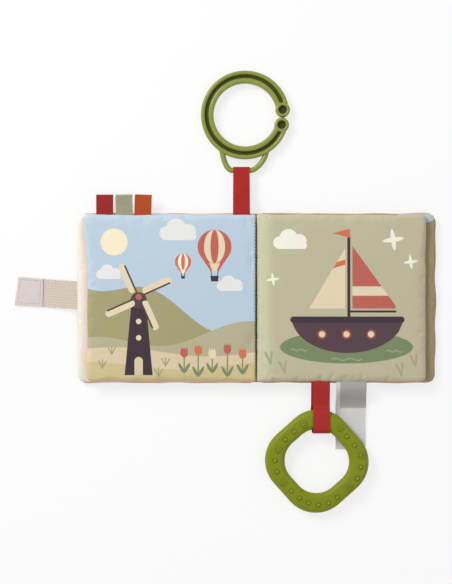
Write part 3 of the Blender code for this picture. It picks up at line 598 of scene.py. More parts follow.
def balloon(finish, at, size, main, stripe):
    """A striped air balloon with its basket: masks and colours, from the back forwards."""
    def part(low, low_half, high, high_half):
        return finish.tapered(at[0], (at[1] + low * size, low_half * size), (at[1] + high * size, high_half * size))

    ropes = [finish.stroke((at[0] + side * 0.22 * size, at[1] - 1.4 * size),
                           (at[0] + side * 0.17 * size, at[1] - 1.75 * size), 0.7) for side in (-1, 1)]
    return [
        (part(-1.42, 0.25, -0.62, 0.78), main), (part(-1.42, 0.14, -0.62, 0.45), stripe),
        (finish.disc(at, size), main), (finish.oval(at, (0.62 * size, size)), stripe),
        (finish.oval(at, (0.24 * size, size)), main), (ropes[0], DARK_PLUM), (ropes[1], DARK_PLUM),
        (part(-2.05, 0.2, -1.72, 0.25), DARK_PLUM),
    ]


def cloud_shape(finish, cx, cy, size):
    """A flat-bottomed cloud."""
    lumps = [finish.disc((cx + over * size, cy + up * size), radius * size)
             for over, up, radius in ((-0.95, 0.05, 0.48), (-0.25, 0.38, 0.72), (0.62, 0.16, 0.55))]
    base = finish.stroke((cx - size, cy - 0.2 * size), (cx + 0.95 * size, cy - 0.2 * size), 0.5 * size)
    return finish.most(base, *lumps)


def tulip(finish, x, y, height, head):
    """One flower: a stem, two leaves and a three-pointed head."""
    top = y + height
    points = [finish.polygon((x + over - 1.5, top), (x + over + 1.5, top), (x + over * 1.25, top + 5.6))
              for over in (-1.9, 0.0, 1.9)]
    leaves = [(finish.oval((x + side * 2.5, y + 4.2), (1.3, 4.8), -side * 0.5), LEAF_GREEN) for side in (-1, 1)]
    return [(finish.stroke((x, y), (x, top), 1.1), LEAF_GREEN), *leaves,
            (finish.most(finish.oval((x, top), (3.3, 3.9)), *points), head)]


def windmill(finish, x, foot, cap, sand):
    """A tapered tower with a door, two windows and four sails."""
    layers = [
        (finish.tapered(x, (foot, 12.0), (cap, 6.0)), DARK_PLUM), (finish.disc((x, cap), 7.0), PLUM),
        (finish.most(finish.disc((x, -54.0), 3.6), finish.tapered(x, (foot, 3.6), (-54.0, 3.6))), sand),
        (finish.disc((x, -20.0), 2.3), CREAM), (finish.disc((x, -34.0), 2.3), CREAM),
    ]
    hub = Vector((x, cap + 3.0))
    for quarter in range(4):
        turn = radians(24 + 90 * quarter)
        run = Vector((cos(turn), sin(turn)))
        tip, beside = hub + 29 * run, 2.6 * Vector((-run.y, run.x))
        layers.append((finish.stroke(hub + 8 * run + beside, tip + beside, 6.0), CREAM))
        layers.append((finish.stroke(hub, tip, 1.5), PLUM))
    return [*layers, (finish.disc(hub, 2.6), CORAL)]


def left_print(finish, x, y):
    """Hills under a pale sky, with a windmill, balloons and tulips."""
    olive, sand = "aaa478", "e3d0ad"
    layers = [(finish.disc((-122.0, 48.0), 11.5), "fdf1cf")]
    layers += [(cloud_shape(finish, *place), "eeeeec")
               for place in ((-66.0, 55.0, 12.0), (-22.0, 10.0, 8.5), (-126.0, 20.0, 8.0))]
    for run, shift, swing, slope, height, colour in (
        (17.0, 0.6, 9.0, -0.34, -32.0, olive), (21.0, 2.1, 7.0, 0.10, -26.0, "bdb796"),
        (26.0, 0.0, 4.0, 0.0, -46.0, sand), (24.0, 1.2, 3.0, 0.0, -58.0, "d7c694"),
    ):
        crest = finish.sine(x / run + shift) * swing + x * slope + height
        layers.append((finish.within(y - crest), colour))
    layers += windmill(finish, -101.0, -66.0, -2.0, sand)
    layers += balloon(finish, (-36.0, 44.0), 14.5, CORAL, CREAM)
    layers += balloon(finish, (-63.0, 31.0), 7.0, ORANGE, WARM_WHITE)
    for flower in ((-62.0, -64.0, 17.0, CORAL), (-50.0, -67.0, 22.0, ORANGE), (-38.0, -64.0, 16.0, CREAM),
                   (-25.0, -67.0, 23.0, CORAL), (-12.0, -65.0, 17.0, ORANGE)):
        layers += tulip(finish, *flower)
    layers += [(finish.blade(foot, 7.0, lean, 1.0), olive) for lean in (-0.5, 0.0, 0.5)
               for foot in ((-78.0, -58.0), (-132.0, -60.0), (-124.0, -48.0), (-84.0, -67.0))]
    return finish.painted("c1d4e3", *layers)


def right_print(finish, x, y):
    """A sailing boat on a round pond, with a cloud and stars."""
    hull = finish.least(finish.polygon((40.0, -52.0), (112.0, -52.0), (126.0, -19.0), (30.0, -19.0)),
                        finish.oval((78.0, -16.0), (48.0, 31.0)))
    main = finish.least(finish.polygon((82.0, -9.0), (119.0, -9.0), (119.0, 49.0), (82.0, 49.0)),
                        finish.disc((66.0, -13.5), 62.3), finish.within(x * 0.80 + y * 0.58 - 91.5))
    jib = finish.polygon((45.0, -9.0), (76.0, -9.0), (76.0, 43.0))
    layers = [
        (finish.oval((77.0, -42.0), (57.0, 14.0)), LEAF_GREEN),
        (finish.stroke((79.0, -18.0), (79.0, 53.0), 2.6), DARK_PLUM),
        (finish.stroke((80.0, -11.5), (119.0, -11.5), 1.8), DARK_PLUM),
        (main, CORAL), (finish.least(main, finish.within(abs(y - 6.0) - 4.0)), CREAM),
        (jib, CREAM), (finish.least(jib, finish.within(abs(x * 0.30 - y + 8.0) - 2.2)), ORANGE),
        (finish.polygon((65.0, 55.5), (80.0, 51.5), (80.0, 59.5)), ORANGE),
        (hull, PLUM), (finish.stroke((31.5, -18.5), (124.0, -18.5), 5.4), DARK_PLUM),
        (cloud_shape(finish, 30.0, 47.0, 11.0), WARM_WHITE),
    ]
    for over in (56.0, 77.0, 98.0):
        layers += [(finish.disc((over, -31.0), 4.0), "b35649"), (finish.disc((over, -31.0), 2.6), CREAM)]
    for at, size in (((117.0, 50.0), 9.0), ((132.0, 31.0), 6.0), ((14.0, 16.0), 5.5)):
        rays = [finish.oval(at, (size, size * 0.22), radians(8 + 90 * k)) for k in range(2)]
        layers.append((finish.most(finish.disc(at, size * 0.3), *rays), WARM_WHITE))
    for over, up, run in ((36.0, -44.5, 7.0), (118.0, -45.5, 7.0), (77.0, -52.5, 13.0)):
        bend = finish.within(abs(y - up - finish.wave(x - over, run) * 0.8) - 0.5)
        layers.append((finish.least(bend, finish.within(abs(x - over) - run)), "a3b08c"))
    layers += [(finish.blade(foot, 10.0, lean, 1.8), "b2ac84") for lean in (-0.45, 0.1)
               for foot in ((12.0, -56.0), (24.0, -64.0), (136.0, -58.0), (124.0, -66.0))]
    # Painted highlight: the ground is paler in a band beside the gutter, where the rolled cloth faces the lamp.
    ground = finish.mixed(finish.within(x - 12.0, 8.0) * 0.6, "c6c0a0", "dcd9b8")
    return finish.painted(ground, *layers)


def front_inner_print(finish, x, y):
    """Cream lining with painted shade, a little pinker and darker towards the page, with the outer cloth showing at
    head and foot.
    """
    # Painted shade: the lining turns pinker and darker towards the page that stands over it.
    page_shade = finish.most(finish.least((x + 153.0) * 0.11, 1.0), 0.0)
    cream = finish.mixed(page_shade, "f3ebdf", "efe0d7")
    return finish.painted(cream, (finish.within(72.4 - abs(y), 0.8), OUTER_CLOTH))


def back_inner_print(finish, x, y):
    """Olive lining with a pale blue corner, the outer cloth showing at head and foot."""
    olive = finish.mixed(finish.cloud(0.04), "ae9f79", "a3926c")
    return finish.painted(olive, (finish.disc((140.4, 90.3), 26.0), "bccbd8"),
                          (finish.within(72.4 - abs(y), 0.8), OUTER_CLOTH))


def dotted_print(ground, dots, spacing, radius, near, reach):
    """Plain cloth with round spots in alternate rows, none of them on the rolled edges."""
    def drawn(finish, x, y):
        spots = []
        for shift in (0.0, spacing / 2):
            over, up = (finish.maths("SNAP", part + (spacing / 2 - shift), spacing) + shift for part in (x, y))
            inside = finish.least(finish.within(near - abs(over)), finish.within(abs(over) - reach[0]),
                                  finish.within(abs(up) - reach[1]))
            spots.append(inside * finish.disc((over, up), radius))
        return finish.painted(ground, (finish.most(*spots), dots))
    return drawn


def gutter_print(finish, x, y):
    """Plain grey-green cloth, cloudy in tone."""
    return finish.mixed(finish.cloud(0.03), "b3a98a", "9b8f74")


# Places, radii and heights of the two mouldings, in millimetres.
KNOB_CIRCLE, HALF_SPLIT, OPENING = 32.65, asin(6.5 / 32.65), radians(-3.8)
RING = {"centre": (-9.7, 157.8), "inner": 27.2, "outer": 38.1, "low": 0.3, "high": 7.7, "rounding": 1.65,
        "groove": (31.7, 34.6), "groove_floors": (2.9, 5.1), "hidden_in_knob": 4.1, "hole": 3.5, "loop_wire": 2.35,
        "knob_angles": (OPENING + HALF_SPLIT, OPENING - HALF_SPLIT)}
KNOB_PROFILE = ((0, 0), (4.8, 0), (5.7, 0.4), (6.3, 1.5), (6.3, 6.5), (5.95, 7.35), (5.3, 7.85), (4.7, 8.0),
                (4.2, 7.9), (3.75, 7.5), (3.6, 7.0), (3.5, 5.2), (3.2, 4.8), (0, 4.7))
TEETHER = {
    "centre": (52.0, -140.2), "outer": (44.7, 40.3), "inner": (27.7, 25.6), "thick": 10.0, "rounding": 4.8,
    "turn": -3.2, "tilt": 1.5,
    "flowers": ((40.8, -108.3), (18.9, -129.7), (23.0, -158.3), (71.6, -111.4), (89.8, -134.8), (79.9, -163.0)),
    "beads": ((32.4, -114.7), (24.6, -121.5), (16.0, -139.3), (17.5, -149.2), (77.6, -118.7), (84.2, -126.3),
              (89.4, -145.3), (86.6, -155.0), (30.1, -165.6), (37.0, -171.6), (44.7, -175.9), (53.3, -177.6),
              (61.9, -176.1), (69.4, -171.1)),
}


def knob_places():
    """The middles of the ring's two knobs, in millimetres."""
    return [Vector(RING["centre"]) + KNOB_CIRCLE * Vector((cos(angle), sin(angle)))
            for angle in RING["knob_angles"]]


def moulded_plastic(name):
    """Glossy green plastic of the C-ring, dark where its groove and its blind holes hold the shade."""
    finish = Finish(name, roughness=0.3, specular=0.45, coat=0.1, subsurface=0.05)
    z = finish.place()[2]
    flow, speck = finish.cloud(0.09), finish.cloud(2.6)
    inner, outer = RING["groove"]
    from_groove = abs(finish.away(RING["centre"]) - (inner + outer) / 2) - (outer - inner) / 2
    sunk = finish.within(from_groove + 0.1, 0.5)
    for at in knob_places():
        sunk = finish.most(sunk * finish.within(5.0 - finish.away(at), 0.4), finish.disc(at, RING["hole"]))
    sunk = sunk * finish.within(z - (RING["high"] - 0.35), 0.5)
    colour = finish.mixed(sunk * 0.93, finish.mixed(flow * 0.6, "86923a", "97a148"), "3a3606")
    return finish.finish(colour, flow * 0.6 + speck * 0.12, strength=0.12, distance=0.6 * MM,
                         roughness=speck * 0.14 + 0.26 + sunk * 0.6)


def silicone(name):
    """Matt olive silicone of the teether, with a soft bloom, and painted shade and painted highlights round its
    relief.
    """
    finish = Finish(name, roughness=0.48, specular=0.3, sheen=0.01, subsurface=0.08)
    finish.place()
    bloom, grain = finish.cloud(0.06, 3.0), finish.cloud(3.2)
    colour = finish.mixed(bloom * 0.6, "7e8802", "8f9a0a")
    for at in TEETHER["beads"]:
        away = finish.away(at)
        # Painted shade in a ring round each bead, and a painted highlight on its top.
        painted_bead_shade = finish.least(finish.within(1.15 - away, 0.5), finish.within(away - 2.6, 1.4))
        colour = finish.painted(colour, (painted_bead_shade * 0.5, "5c6408"), (finish.within(away - 0.75, 0.8) * 0.6, "b3ba4e"))
    for at in TEETHER["flowers"]:
        away = finish.away(at)
        # Painted shade round each flower, and a painted highlight at its middle.
        colour = finish.painted(colour, (finish.within(away - 4.0, 1.6) * 0.2, "5c6408"),
                                (finish.within(away - 1.6, 2.4) * 0.4, "a7ae44"))
    return finish.finish(finish.shaded(colour, grain * 0.06 + 0.97), bloom * 0.8 + grain * 0.15, strength=0.14,
                         distance=0.5 * MM, roughness=bloom * 0.16 + grain * 0.08 + 0.36)


def lathe(profile, steps, start=0.0, sweep=2 * pi):
    """A profile of radius and height spun about the Z axis: all round, or as a bar with closed ends."""
    bm = bmesh.new()
    all_round = sweep == 2 * pi
    verts = [bm.verts.new((radius * cos(start), radius * sin(start), z)) for radius, z in profile]
    edges = [bm.edges.new(pair) for pair in zip(verts, verts[1:])]
    if not all_round:
        edges.append(bm.edges.new((verts[-1], verts[0])))
        bm.faces.new(verts)
    bmesh.ops.spin(bm, geom=[*verts, *edges], cent=(0, 0, 0), axis=(0, 0, 1), angle=sweep, steps=steps,
                   use_merge=all_round, use_duplicate=False)
    bmesh.ops.remove_doubles(bm, verts=bm.verts, dist=1e-6)
    bmesh.ops.holes_fill(bm, edges=[edge for edge in bm.edges if edge.is_boundary])
    bmesh.ops.recalc_face_normals(bm, faces=bm.faces)
    return bm


def rounded_profile(corners, radius, segments):
    """A flat polygon whose corners are bevelled round, as radius and height pairs."""
    bm = bmesh.new()
    bm.faces.new([bm.verts.new((r, z, 0)) for r, z in corners])
    bmesh.ops.bevel(bm, geom=list(bm.verts), offset=radius, segments=segments, profile=0.5,
                    affect="VERTICES", material=-1)
    bm.faces.ensure_lookup_table()
    loop = [(vert.co.x * MM, vert.co.y * MM) for vert in bm.faces[0].verts]
    bm.free()
    return loop


def joined_bmesh(parts):
    """Several bmeshes as one."""
    whole = bmesh.new()
    for part in parts:
        mesh = bpy.data.meshes.new("part")
        part.to_mesh(mesh)
        part.free()
        whole.from_mesh(mesh)
        bpy.data.meshes.remove(mesh)
    return whole


def grown(bm, edges):
    """Extrudes a line of edges in place: the new points and the new line."""
    made = bmesh.ops.extrude_edge_only(bm, edges=edges)["geom"]
    verts = [item for item in made if isinstance(item, bmesh.types.BMVert)]
    return verts, [item for item in made if isinstance(item, bmesh.types.BMEdge)
                   and all(vert in verts for vert in item.verts)]


def tube_along(path, radius, sides):
    """A round wire: a circle extruded from point to point, turned square to the path each time."""
    bm = bmesh.new()

    def heading(i):
        return (path[min(i + 1, len(path) - 1)] - path[max(i - 1, 0)]).normalized()

    def turned(before, after, centre, verts):
        matrix = before.rotation_difference(after).to_matrix()
        bmesh.ops.rotate(bm, cent=centre, matrix=matrix, verts=verts)

    ring = bmesh.ops.create_circle(bm, cap_ends=True, segments=sides, radius=radius)["verts"]
    turned(Vector((0, 0, 1)), heading(0), (0, 0, 0), ring)
    bmesh.ops.translate(bm, vec=path[0], verts=ring)
    edges = list({edge for vert in ring for edge in vert.link_edges})
    for i in range(1, len(path)):
        ring, edges = grown(bm, edges)
        bmesh.ops.translate(bm, vec=path[i] - path[i - 1], verts=ring)
        turned(heading(i - 1), heading(i), path[i], ring)
    bmesh.ops.holes_fill(bm, edges=edges)
    bmesh.ops.recalc_face_normals(bm, faces=bm.faces)
    return bm


def path_length(points):
    return sum((after - before).length for before, after in zip(points, points[1:]))


def eased(points, spacing, rounds):
    """A path with a point about every so many metres and its corners eased, its ends kept."""
    path = [Vector(point) for point in points]
    runs = [0.0]
    for before, after in zip(path, path[1:]):
        runs.append(runs[-1] + (after - before).length)
    count = max(int(runs[-1] / spacing), 1)
    placed, index = [], 0
    for step in range(count + 1):
        goal = runs[-1] * step / count
        while index < len(path) - 2 and runs[index + 1] < goal:
            index += 1
        share = (goal - runs[index]) / max(runs[index + 1] - runs[index], 1e-9)
        placed.append(path[index].lerp(path[index + 1], min(share, 1.0)))
    return softened(placed, rounds)


def softened(path, rounds):
    """The same path with its corners eased, its ends kept."""
    for _ in range(rounds):
        path = [path[0], *((a + 2 * b + c) / 4 for a, b, c in zip(path, path[1:], path[2:])), path[-1]]
    return path


def arc_points(centre, radius, start, end, steps):
    turns = [start + (end - start) * i / steps for i in range(steps + 1)]
    return [(centre[0] + radius * cos(a), centre[1] + radius * sin(a)) for a in turns]


def strip_bmesh(path, width, columns, start_along=0.0, middle=0.0, bm=None):
    """A band of cloth about X = middle: its path, as Y and Z, extruded sideways along X.

    The layer "lie" keeps where each point lies on the cloth: across, along and in from the selvedge."""
    bm = bm or bmesh.new()
    lie = bm.verts.layers.float_vector.get("lie") or bm.verts.layers.float_vector.new("lie")
    made, line = [], []
    for i, point in enumerate(path):
        line.append(bm.verts.new((-width / 2, *point)))
        line[-1][lie] = (-width / 2, start_along + path_length(path[:i + 1]), 0.0)
    made += line
    edges = [bm.edges.new(pair) for pair in zip(line, line[1:])]
    for column in range(1, columns + 1):
        line, edges = grown(bm, edges)
        made += line
        bmesh.ops.translate(bm, vec=(width / columns, 0, 0), verts=line)
        across = width * column / columns - width / 2
        for vert in line:
            vert[lie] = (across, vert[lie].y, width / 2 - abs(across))
    bmesh.ops.translate(bm, vec=(middle, 0, 0), verts=made)
    bmesh.ops.recalc_face_normals(bm, faces=bm.faces)
    return bm


def thickened(obj, thickness):
    """Gives a sheet its thickness, half to each side, and keeps the result as its own mesh."""
    wall = obj.modifiers.new("Thickness", "SOLIDIFY")
    wall.thickness = thickness
    wall.offset = 0
    bpy.context.view_layer.update()
    evaluated = obj.evaluated_get(bpy.context.evaluated_depsgraph_get())
    mesh = bpy.data.meshes.new_from_object(evaluated)
    obj.modifiers.clear()
    sheet = obj.data
    obj.data = mesh
    bpy.data.meshes.remove(sheet)


def cloth_strip(name, bm, thickness, material, motion, slot, nodes, **sheet):
    """A strip given its thickness and its attributes, then attached to the body it rides on, or kept in place where
    it lies between two.
    """
    rest = bm.verts.layers.float_vector.new("rest")
    for vert in bm.verts:
        vert[rest] = vert.co
    obj = new_piece(name, bm, material)
    thickened(obj, thickness)
    obj.data.set_sharp_from_angle(angle=radians(60))
    declared(obj, motion, slot, *nodes)


LAYER_GAP = 0.4 * MM  # half the distance between the two layers of a folded ribbon


def beside(hinge, *shifts):
    """Where a strip's blend starts and ends: so many millimetres along Y from its hinge."""
    return [(hinge.x, hinge.y + shift * MM, hinge.z) for shift in shifts]


def folded_round(start, far, eye, offset, back):
    """Out along the top from a seam, round an eye, and back underneath, as Y and Z."""
    run = Vector(far) - Vector(start)
    length, slope = run.length, atan2(run.y, run.x)
    touch = atan2(offset, -length) - acos(eye / hypot(length, offset))
    flat = [(-back, offset), *arc_points((length, 0), eye, touch, -touch, 24), (-back, -offset)]
    return [(start[0] + u * cos(slope) - w * sin(slope), start[1] + u * sin(slope) + w * cos(slope))
            for u, w in flat]


class PadSettings(bpy.types.PropertyGroup):
    """How the padded panels are puffed."""

    spacing: FloatProperty(name="Mesh spacing", description="Distance between the cloth's points",
                           default=0.0021, min=0.001, unit="LENGTH")
    pressure: FloatProperty(name="Pressure", description="Pressure inside the cloth while it swells",
                            default=4.0, min=0.0)
    frames: IntProperty(name="Frames", description="Frames that the cloth is left to swell",
                        default=20, min=2)
    cap: FloatProperty(name="Largest move", description="How far a point of the cloth may move",
                       default=0.0016, min=0.0, unit="LENGTH")


class RibbonSettings(bpy.types.PropertyGroup):
    """Sizes of the ribbons, tags and label."""

    width: FloatProperty(name="Ribbon width", description="Width of ribbons and tags",
                         default=0.0146, min=0.004, unit="LENGTH")
    thickness: FloatProperty(name="Ribbon thickness", description="Thickness of the ribbon",
                             default=0.0005, min=0.0002, unit="LENGTH")



def rim_shape(corner, roll, under_roll, seam_share):
    """One side of a pad: its corners' radius, its two roundings and how high up its seam lies."""
    return {"corner": corner * MM, "roll": roll * MM, "under_roll": under_roll * MM, "seam_share": seam_share}


COVER_RIMS = (rim_shape(8.5, 4.5, 3.2, 0.5), rim_shape(2.0, 3.5, 3.2, 0.5))
LEFT_LEAF_RIMS = (rim_shape(4.6, 6.0, 3.6, 0.5), rim_shape(1.2, 2.4, 5.0, 0.84))
RIGHT_LEAF_RIMS = (rim_shape(4.6, 6.0, 3.6, 0.5), rim_shape(1.6, 5.4, 4.2, 0.62))
COVER_SKINS, LEAF_SKINS = ("inner_skin", "outer_skin"), ("picture_skin", "reverse_skin")

PAD_ROWS = (
    ("front_cover", -1, COVER_RIMS, 0.0, COVER_SKINS, ("cover_inner_front", "cover_outer"), 1.7),
    ("back_cover", 1, COVER_RIMS, 0.0, COVER_SKINS, ("cover_inner_back", "cover_outer"), 4.3),
    ("left_leaf", -1, LEFT_LEAF_RIMS, 0.65, LEAF_SKINS, ("left_picture", "left_reverse"), 7.9),
    ("right_leaf", 1, RIGHT_LEAF_RIMS, 1.35, LEAF_SKINS, ("right_picture", "right_reverse"), 11.2),
)
PRINTS = (
    ("cover_inner_front", front_inner_print, 0.55), ("cover_inner_back", back_inner_print, 0.55),
    ("cover_outer", dotted_print("dca080", "f0d8c4", 15.0, 1.7, 9.0, (148.0, 69.0)), 0.55),
    ("left_picture", left_print, 0.42), ("right_picture", right_print, 0.42),
    ("left_reverse", dotted_print("dba183", "f1e2d0", 11.0, 1.2, 5.0, (141.0, 68.0)), 0.42),
    ("right_reverse", dotted_print("8a5f55", "c9a598", 11.0, 1.2, 5.0, (141.0, 68.0)), 0.42),
)

# Each crease: its place in millimetres, its heading in degrees, its length, width and depth.
CREASES = {
    "left_leaf": (
        ((-8.0, -71.5), 100, 16.0, 1.7, 0.55), ((-3.0, 40.0), 186, 20.0, 2.2, 0.25),
        ((-60.0, -71.5), 84, 12.0, 2.0, 0.35), ((-112.0, 71.5), -80, 15.0, 2.1, 0.4),
        ((-97.0, 71.5), -100, 12.0, 1.8, 0.35), ((-28.0, 71.5), -97, 18.0, 2.1, 0.4),
        ((-10.0, 71.0), -80, 20.0, 1.9, 0.5), ((-144.0, 10.0), 4, 12.0, 2.1, 0.3),
    ),
    "right_leaf": (
        ((9.0, 72.0), -66, 17.0, 1.7, 0.9), ((5.0, 72.0), -96, 22.0, 1.8, 0.8),
        ((8.0, -71.5), 62, 15.0, 1.7, 0.8), ((37.0, -72.0), 116, 15.0, 1.7, 0.8),
        ((62.0, -72.0), 62, 17.0, 1.9, 1.0), ((55.0, -72.0), 92, 12.0, 1.6, 0.6),
        ((90.0, -72.0), 78, 13.0, 1.8, 0.6), ((112.0, -72.0), 98, 11.0, 1.8, 0.5),
        ((145.0, -30.0), 176, 13.0, 2.0, 0.45), ((145.0, 24.0), 182, 11.0, 2.0, 0.4),
        ((60.0, 72.0), -86, 12.0, 1.9, 0.45), ((110.0, 72.0), -94, 13.0, 1.9, 0.4),
    ),
    "front_cover": (
        ((-154.0, -20.0), 3, 9.0, 1.8, 0.5), ((-154.0, 30.0), -6, 9.0, 2.0, 0.5),
    ),
    "back_cover": (
        ((154.0, 26.0), 183, 9.0, 2.0, 0.6), ((154.0, -2.0), 176, 8.0, 1.8, 0.5),
        ((154.0, -48.0), 170, 10.0, 2.2, 0.7),
    ),
}



class CLOTHBOOK_OT_pads(bpy.types.Operator):
    """Sews and puffs the two covers and the two leaves"""

    bl_idname = "clothbook.pads"
    bl_label = "Covers and leaves"

    def execute(self, context):
        finishes = {name: printed_cloth(name, colour_of, pitch) for name, colour_of, pitch in PRINTS}
        for name, outward, rims, towards, skins, slots, seed in PAD_ROWS:
            nodes = [f"{name}_{skin}" for skin in skins]
            low, high = node_span(*nodes)
            gutter = low if outward > 0 else high
            gutter.x -= outward * towards * MM
            shape = PadShape(low, high, outward, *rims)
            leaf = name.endswith("leaf")
            pad = sewn_pad(f"{name}_pad", shape, context.scene.cloth_book.pads.spacing,
                           [finishes[slot] for slot in slots])
            puff(pad, shape)
            puckered(pad, shape, depth=0.6 * MM, spacing=8 * MM, reach=13 * MM, seed=seed)
            if leaf:
                dipped_at_gutter(pad, shape, 1 if name == "right_leaf" else 0.15)
            creased(pad, shape, CREASES[name])
            undulated(pad, shape, depth=0.9 * MM if leaf else 0.4 * MM, seed=seed)
            rest_between(pad, low.z, FOLD_HEIGHT - 0.1 * MM if leaf else high.z + 0.1 * MM, ease=0.7 * MM)
            if name == "back_cover":
                bedded(pad, shape, *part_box("closure_loop_patch"))
            wavered(pad, shape, amount=0.9 * MM if leaf else 1.4 * MM, spacing=22 * MM, reach=12 * MM, seed=seed)
            if name == "left_leaf":
                flared(pad)
            for vert in pad.data.vertices:
                if (vert.co.x - gutter.x) * outward < 0:
                    vert.co.x = gutter.x
            rounding = pad.modifiers.new("Subdivision", "SUBSURF")
            rounding.levels = rounding.render_levels = 1
            rounding.use_limit_surface = False
            declared(pad, name, slots[0], *nodes, f"{name}_batting", f"{name}_crinkle_film")
        return {"FINISHED"}


class CLOTHBOOK_OT_gutter(bpy.types.Operator):
    """Makes the spine cloth, the fold that stands in the gutter and its stitches"""

    bl_idname = "clothbook.gutter"
    bl_label = "Spine and gutter"

    def execute(self, context):
        half, length = 6.8 * MM, 2 * (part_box("spine_strip")[1].y - 1.2 * MM)
        bm = bmesh.new()
        bmesh.ops.create_grid(bm, x_segments=28, y_segments=60, size=1.0)
        for vert in bm.verts:
            across = vert.co.x
            sag = 2.6 * MM * smooth(abs(across * half), 3 * MM, half)
            vert.co = (across * half, vert.co.y * length / 2 * (1 - 0.004 * across * across),
                       0.5 * MM + sag + 0.1 * MM * ripple(across, vert.co.y, 0.0, 0.1))
        spine = new_piece("spine_cloth", bm, bpy.data.materials["cover_outer"])
        thickened(spine, 0.6 * MM)
        declared(spine, ("back_cover", "front_cover", (3.3 * MM, 0, 0), (-3.3 * MM, 0, 0)), "cover_outer",
                 "spine_strip")

        top, end = 8.4 * MM, node_span("spine_strip", "back_cover_inner_skin")[1].y
        rise = [(-0.6 * MM, 0.9 * MM), (-0.5 * MM, 6 * MM), (-0.3 * MM, top - 0.3 * MM)]
        fold = eased([*rise, (0.0, top), *((-y, z) for y, z in rise[::-1])], 1.2 * MM, 2)
        path = eased(fold, 0.8 * MM, 0)
        fold_length = 2 * (end - 2.2 * MM)
        bm = strip_bmesh(path, fold_length, 90)
        bmesh.ops.rotate(bm, cent=(0, 0, 0), matrix=Matrix.Rotation(-pi / 2, 3, "Z"), verts=bm.verts)
        for vert in bm.verts:
            vert.co.z += 0.25 * MM * ripple(0.0, vert.co.y, 2.0, 0.006) * smooth(vert.co.z, 6 * MM, top)
        cloth_strip("gutter_fold", bm, 0.4 * MM, printed_cloth("gutter_cloth", gutter_print, 0.55, 0.88, 0.07),
                    "back_cover", "thread", (), flat=(path_length(path), fold_length),
                    held="folded", rests_on=["spine_cloth"])

        pitch, reach = 2.9 * MM, end - 6.5 * MM
        places = [-reach + pitch * (i + 0.5) for i in range(int(2 * reach / pitch))]
        stitch = ((0.35, -1.0, -2.6), (0.62, -0.8, -2.2), (0.66, 0.0, -2.1), (0.62, 0.8, -2.2), (0.35, 1.0, -2.6))
        rows = [[(side * x * MM, y + along * MM, top + z * MM) for x, along, z in stitch]
                for y in places for side in (-1, 1)]
        self.stitches("gutter_stitches", rows, 0.5, 1, 0.2, 7, ("thread", "6d5a4c"), "back_cover",
                      "gutter_stitching")
        rows = []
        for i, y in enumerate(places):
            y += 0.3 * MM * ripple(i, 1.0, 0.0, 1.7)
            lift = 0.15 * ripple(i, 4.0, 0.0, 1.3)
            overcast = ((-1.6, -0.7, 13.1), (-1.3, -0.6, 13.6 + lift), (-0.8, -0.3, 13.65 + lift),
                        (-0.4, 0.0, 13.45), (-0.18, 0.3, 12.9), (-0.2, 0.5, 12.3), (-0.7, 0.6, 11.8))
            rows.append([(x * MM, y + along * MM, z * MM) for x, along, z in overcast])
        self.stitches("page_stitches", rows, 0.4, 2, 0.3, 8, ("page_thread", "7b7d62"), "left_leaf")
        return {"FINISHED"}

    def stitches(self, name, rows, spacing, rounds, radius, sides, thread, body, *nodes):
        """Stitches as one piece: a tube along each path. Spacing and radius are in millimetres."""
        tubes = [tube_along(eased(row, spacing * MM, rounds), radius * MM, sides) for row in rows]
        declared(new_piece(name, joined_bmesh(tubes), thread_finish(*thread)), body, "thread", *nodes)


class CLOTHBOOK_OT_tags(bpy.types.Operator):
    """Folds the three ribbon tags into the left leaf's head seam"""

    bl_idname = "clothbook.tags"
    bl_label = "Ribbon tags"

    def execute(self, context):
        ribbon = context.scene.cloth_book.ribbons
        for name, code, tilt in (("red", "a8241c", 0.0), ("sage", "afab8e", 1.5), ("orange", "c54e14", -1.5)):
            joint = JOINTS[f"tag_{name}_bend"]
            far = joint.y + 12.95 * MM
            fold = folded_round(joint.yz, (far, joint.z + 0.2 * MM), 0.55 * MM, LAYER_GAP, 4.2 * MM)
            path = eased(fold, 0.6 * MM, 1)
            bm = strip_bmesh(path, ribbon.width, 16, middle=joint.x)
            bmesh.ops.rotate(bm, cent=joint, matrix=Matrix.Rotation(radians(tilt), 3, "Z"), verts=bm.verts)
            for vert in bm.verts:
                out = smooth(vert.co.y, joint.y, far)
                vert.co.z += 0.7 * MM * out * ripple(vert.co.x, vert.co.y, tilt + 4.0, 0.012)
                vert.co.x += 0.3 * MM * out * ripple(vert.co.y, tilt, 1.0, 0.008)
            cloth_strip(f"tag_{name}_cloth", bm, ribbon.thickness, ribbon_cloth(f"tag_{name}", code, 0.7),
                        ("left_leaf", f"tag_{name}", *beside(joint, -1, 3)), f"tag_{name}",
                        (f"tag_{name}", f"tag_{name}_root"),
                        flat=(ribbon.width, path_length(path)), held="folded", rests_on=["left_leaf_pad"])
        return {"FINISHED"}


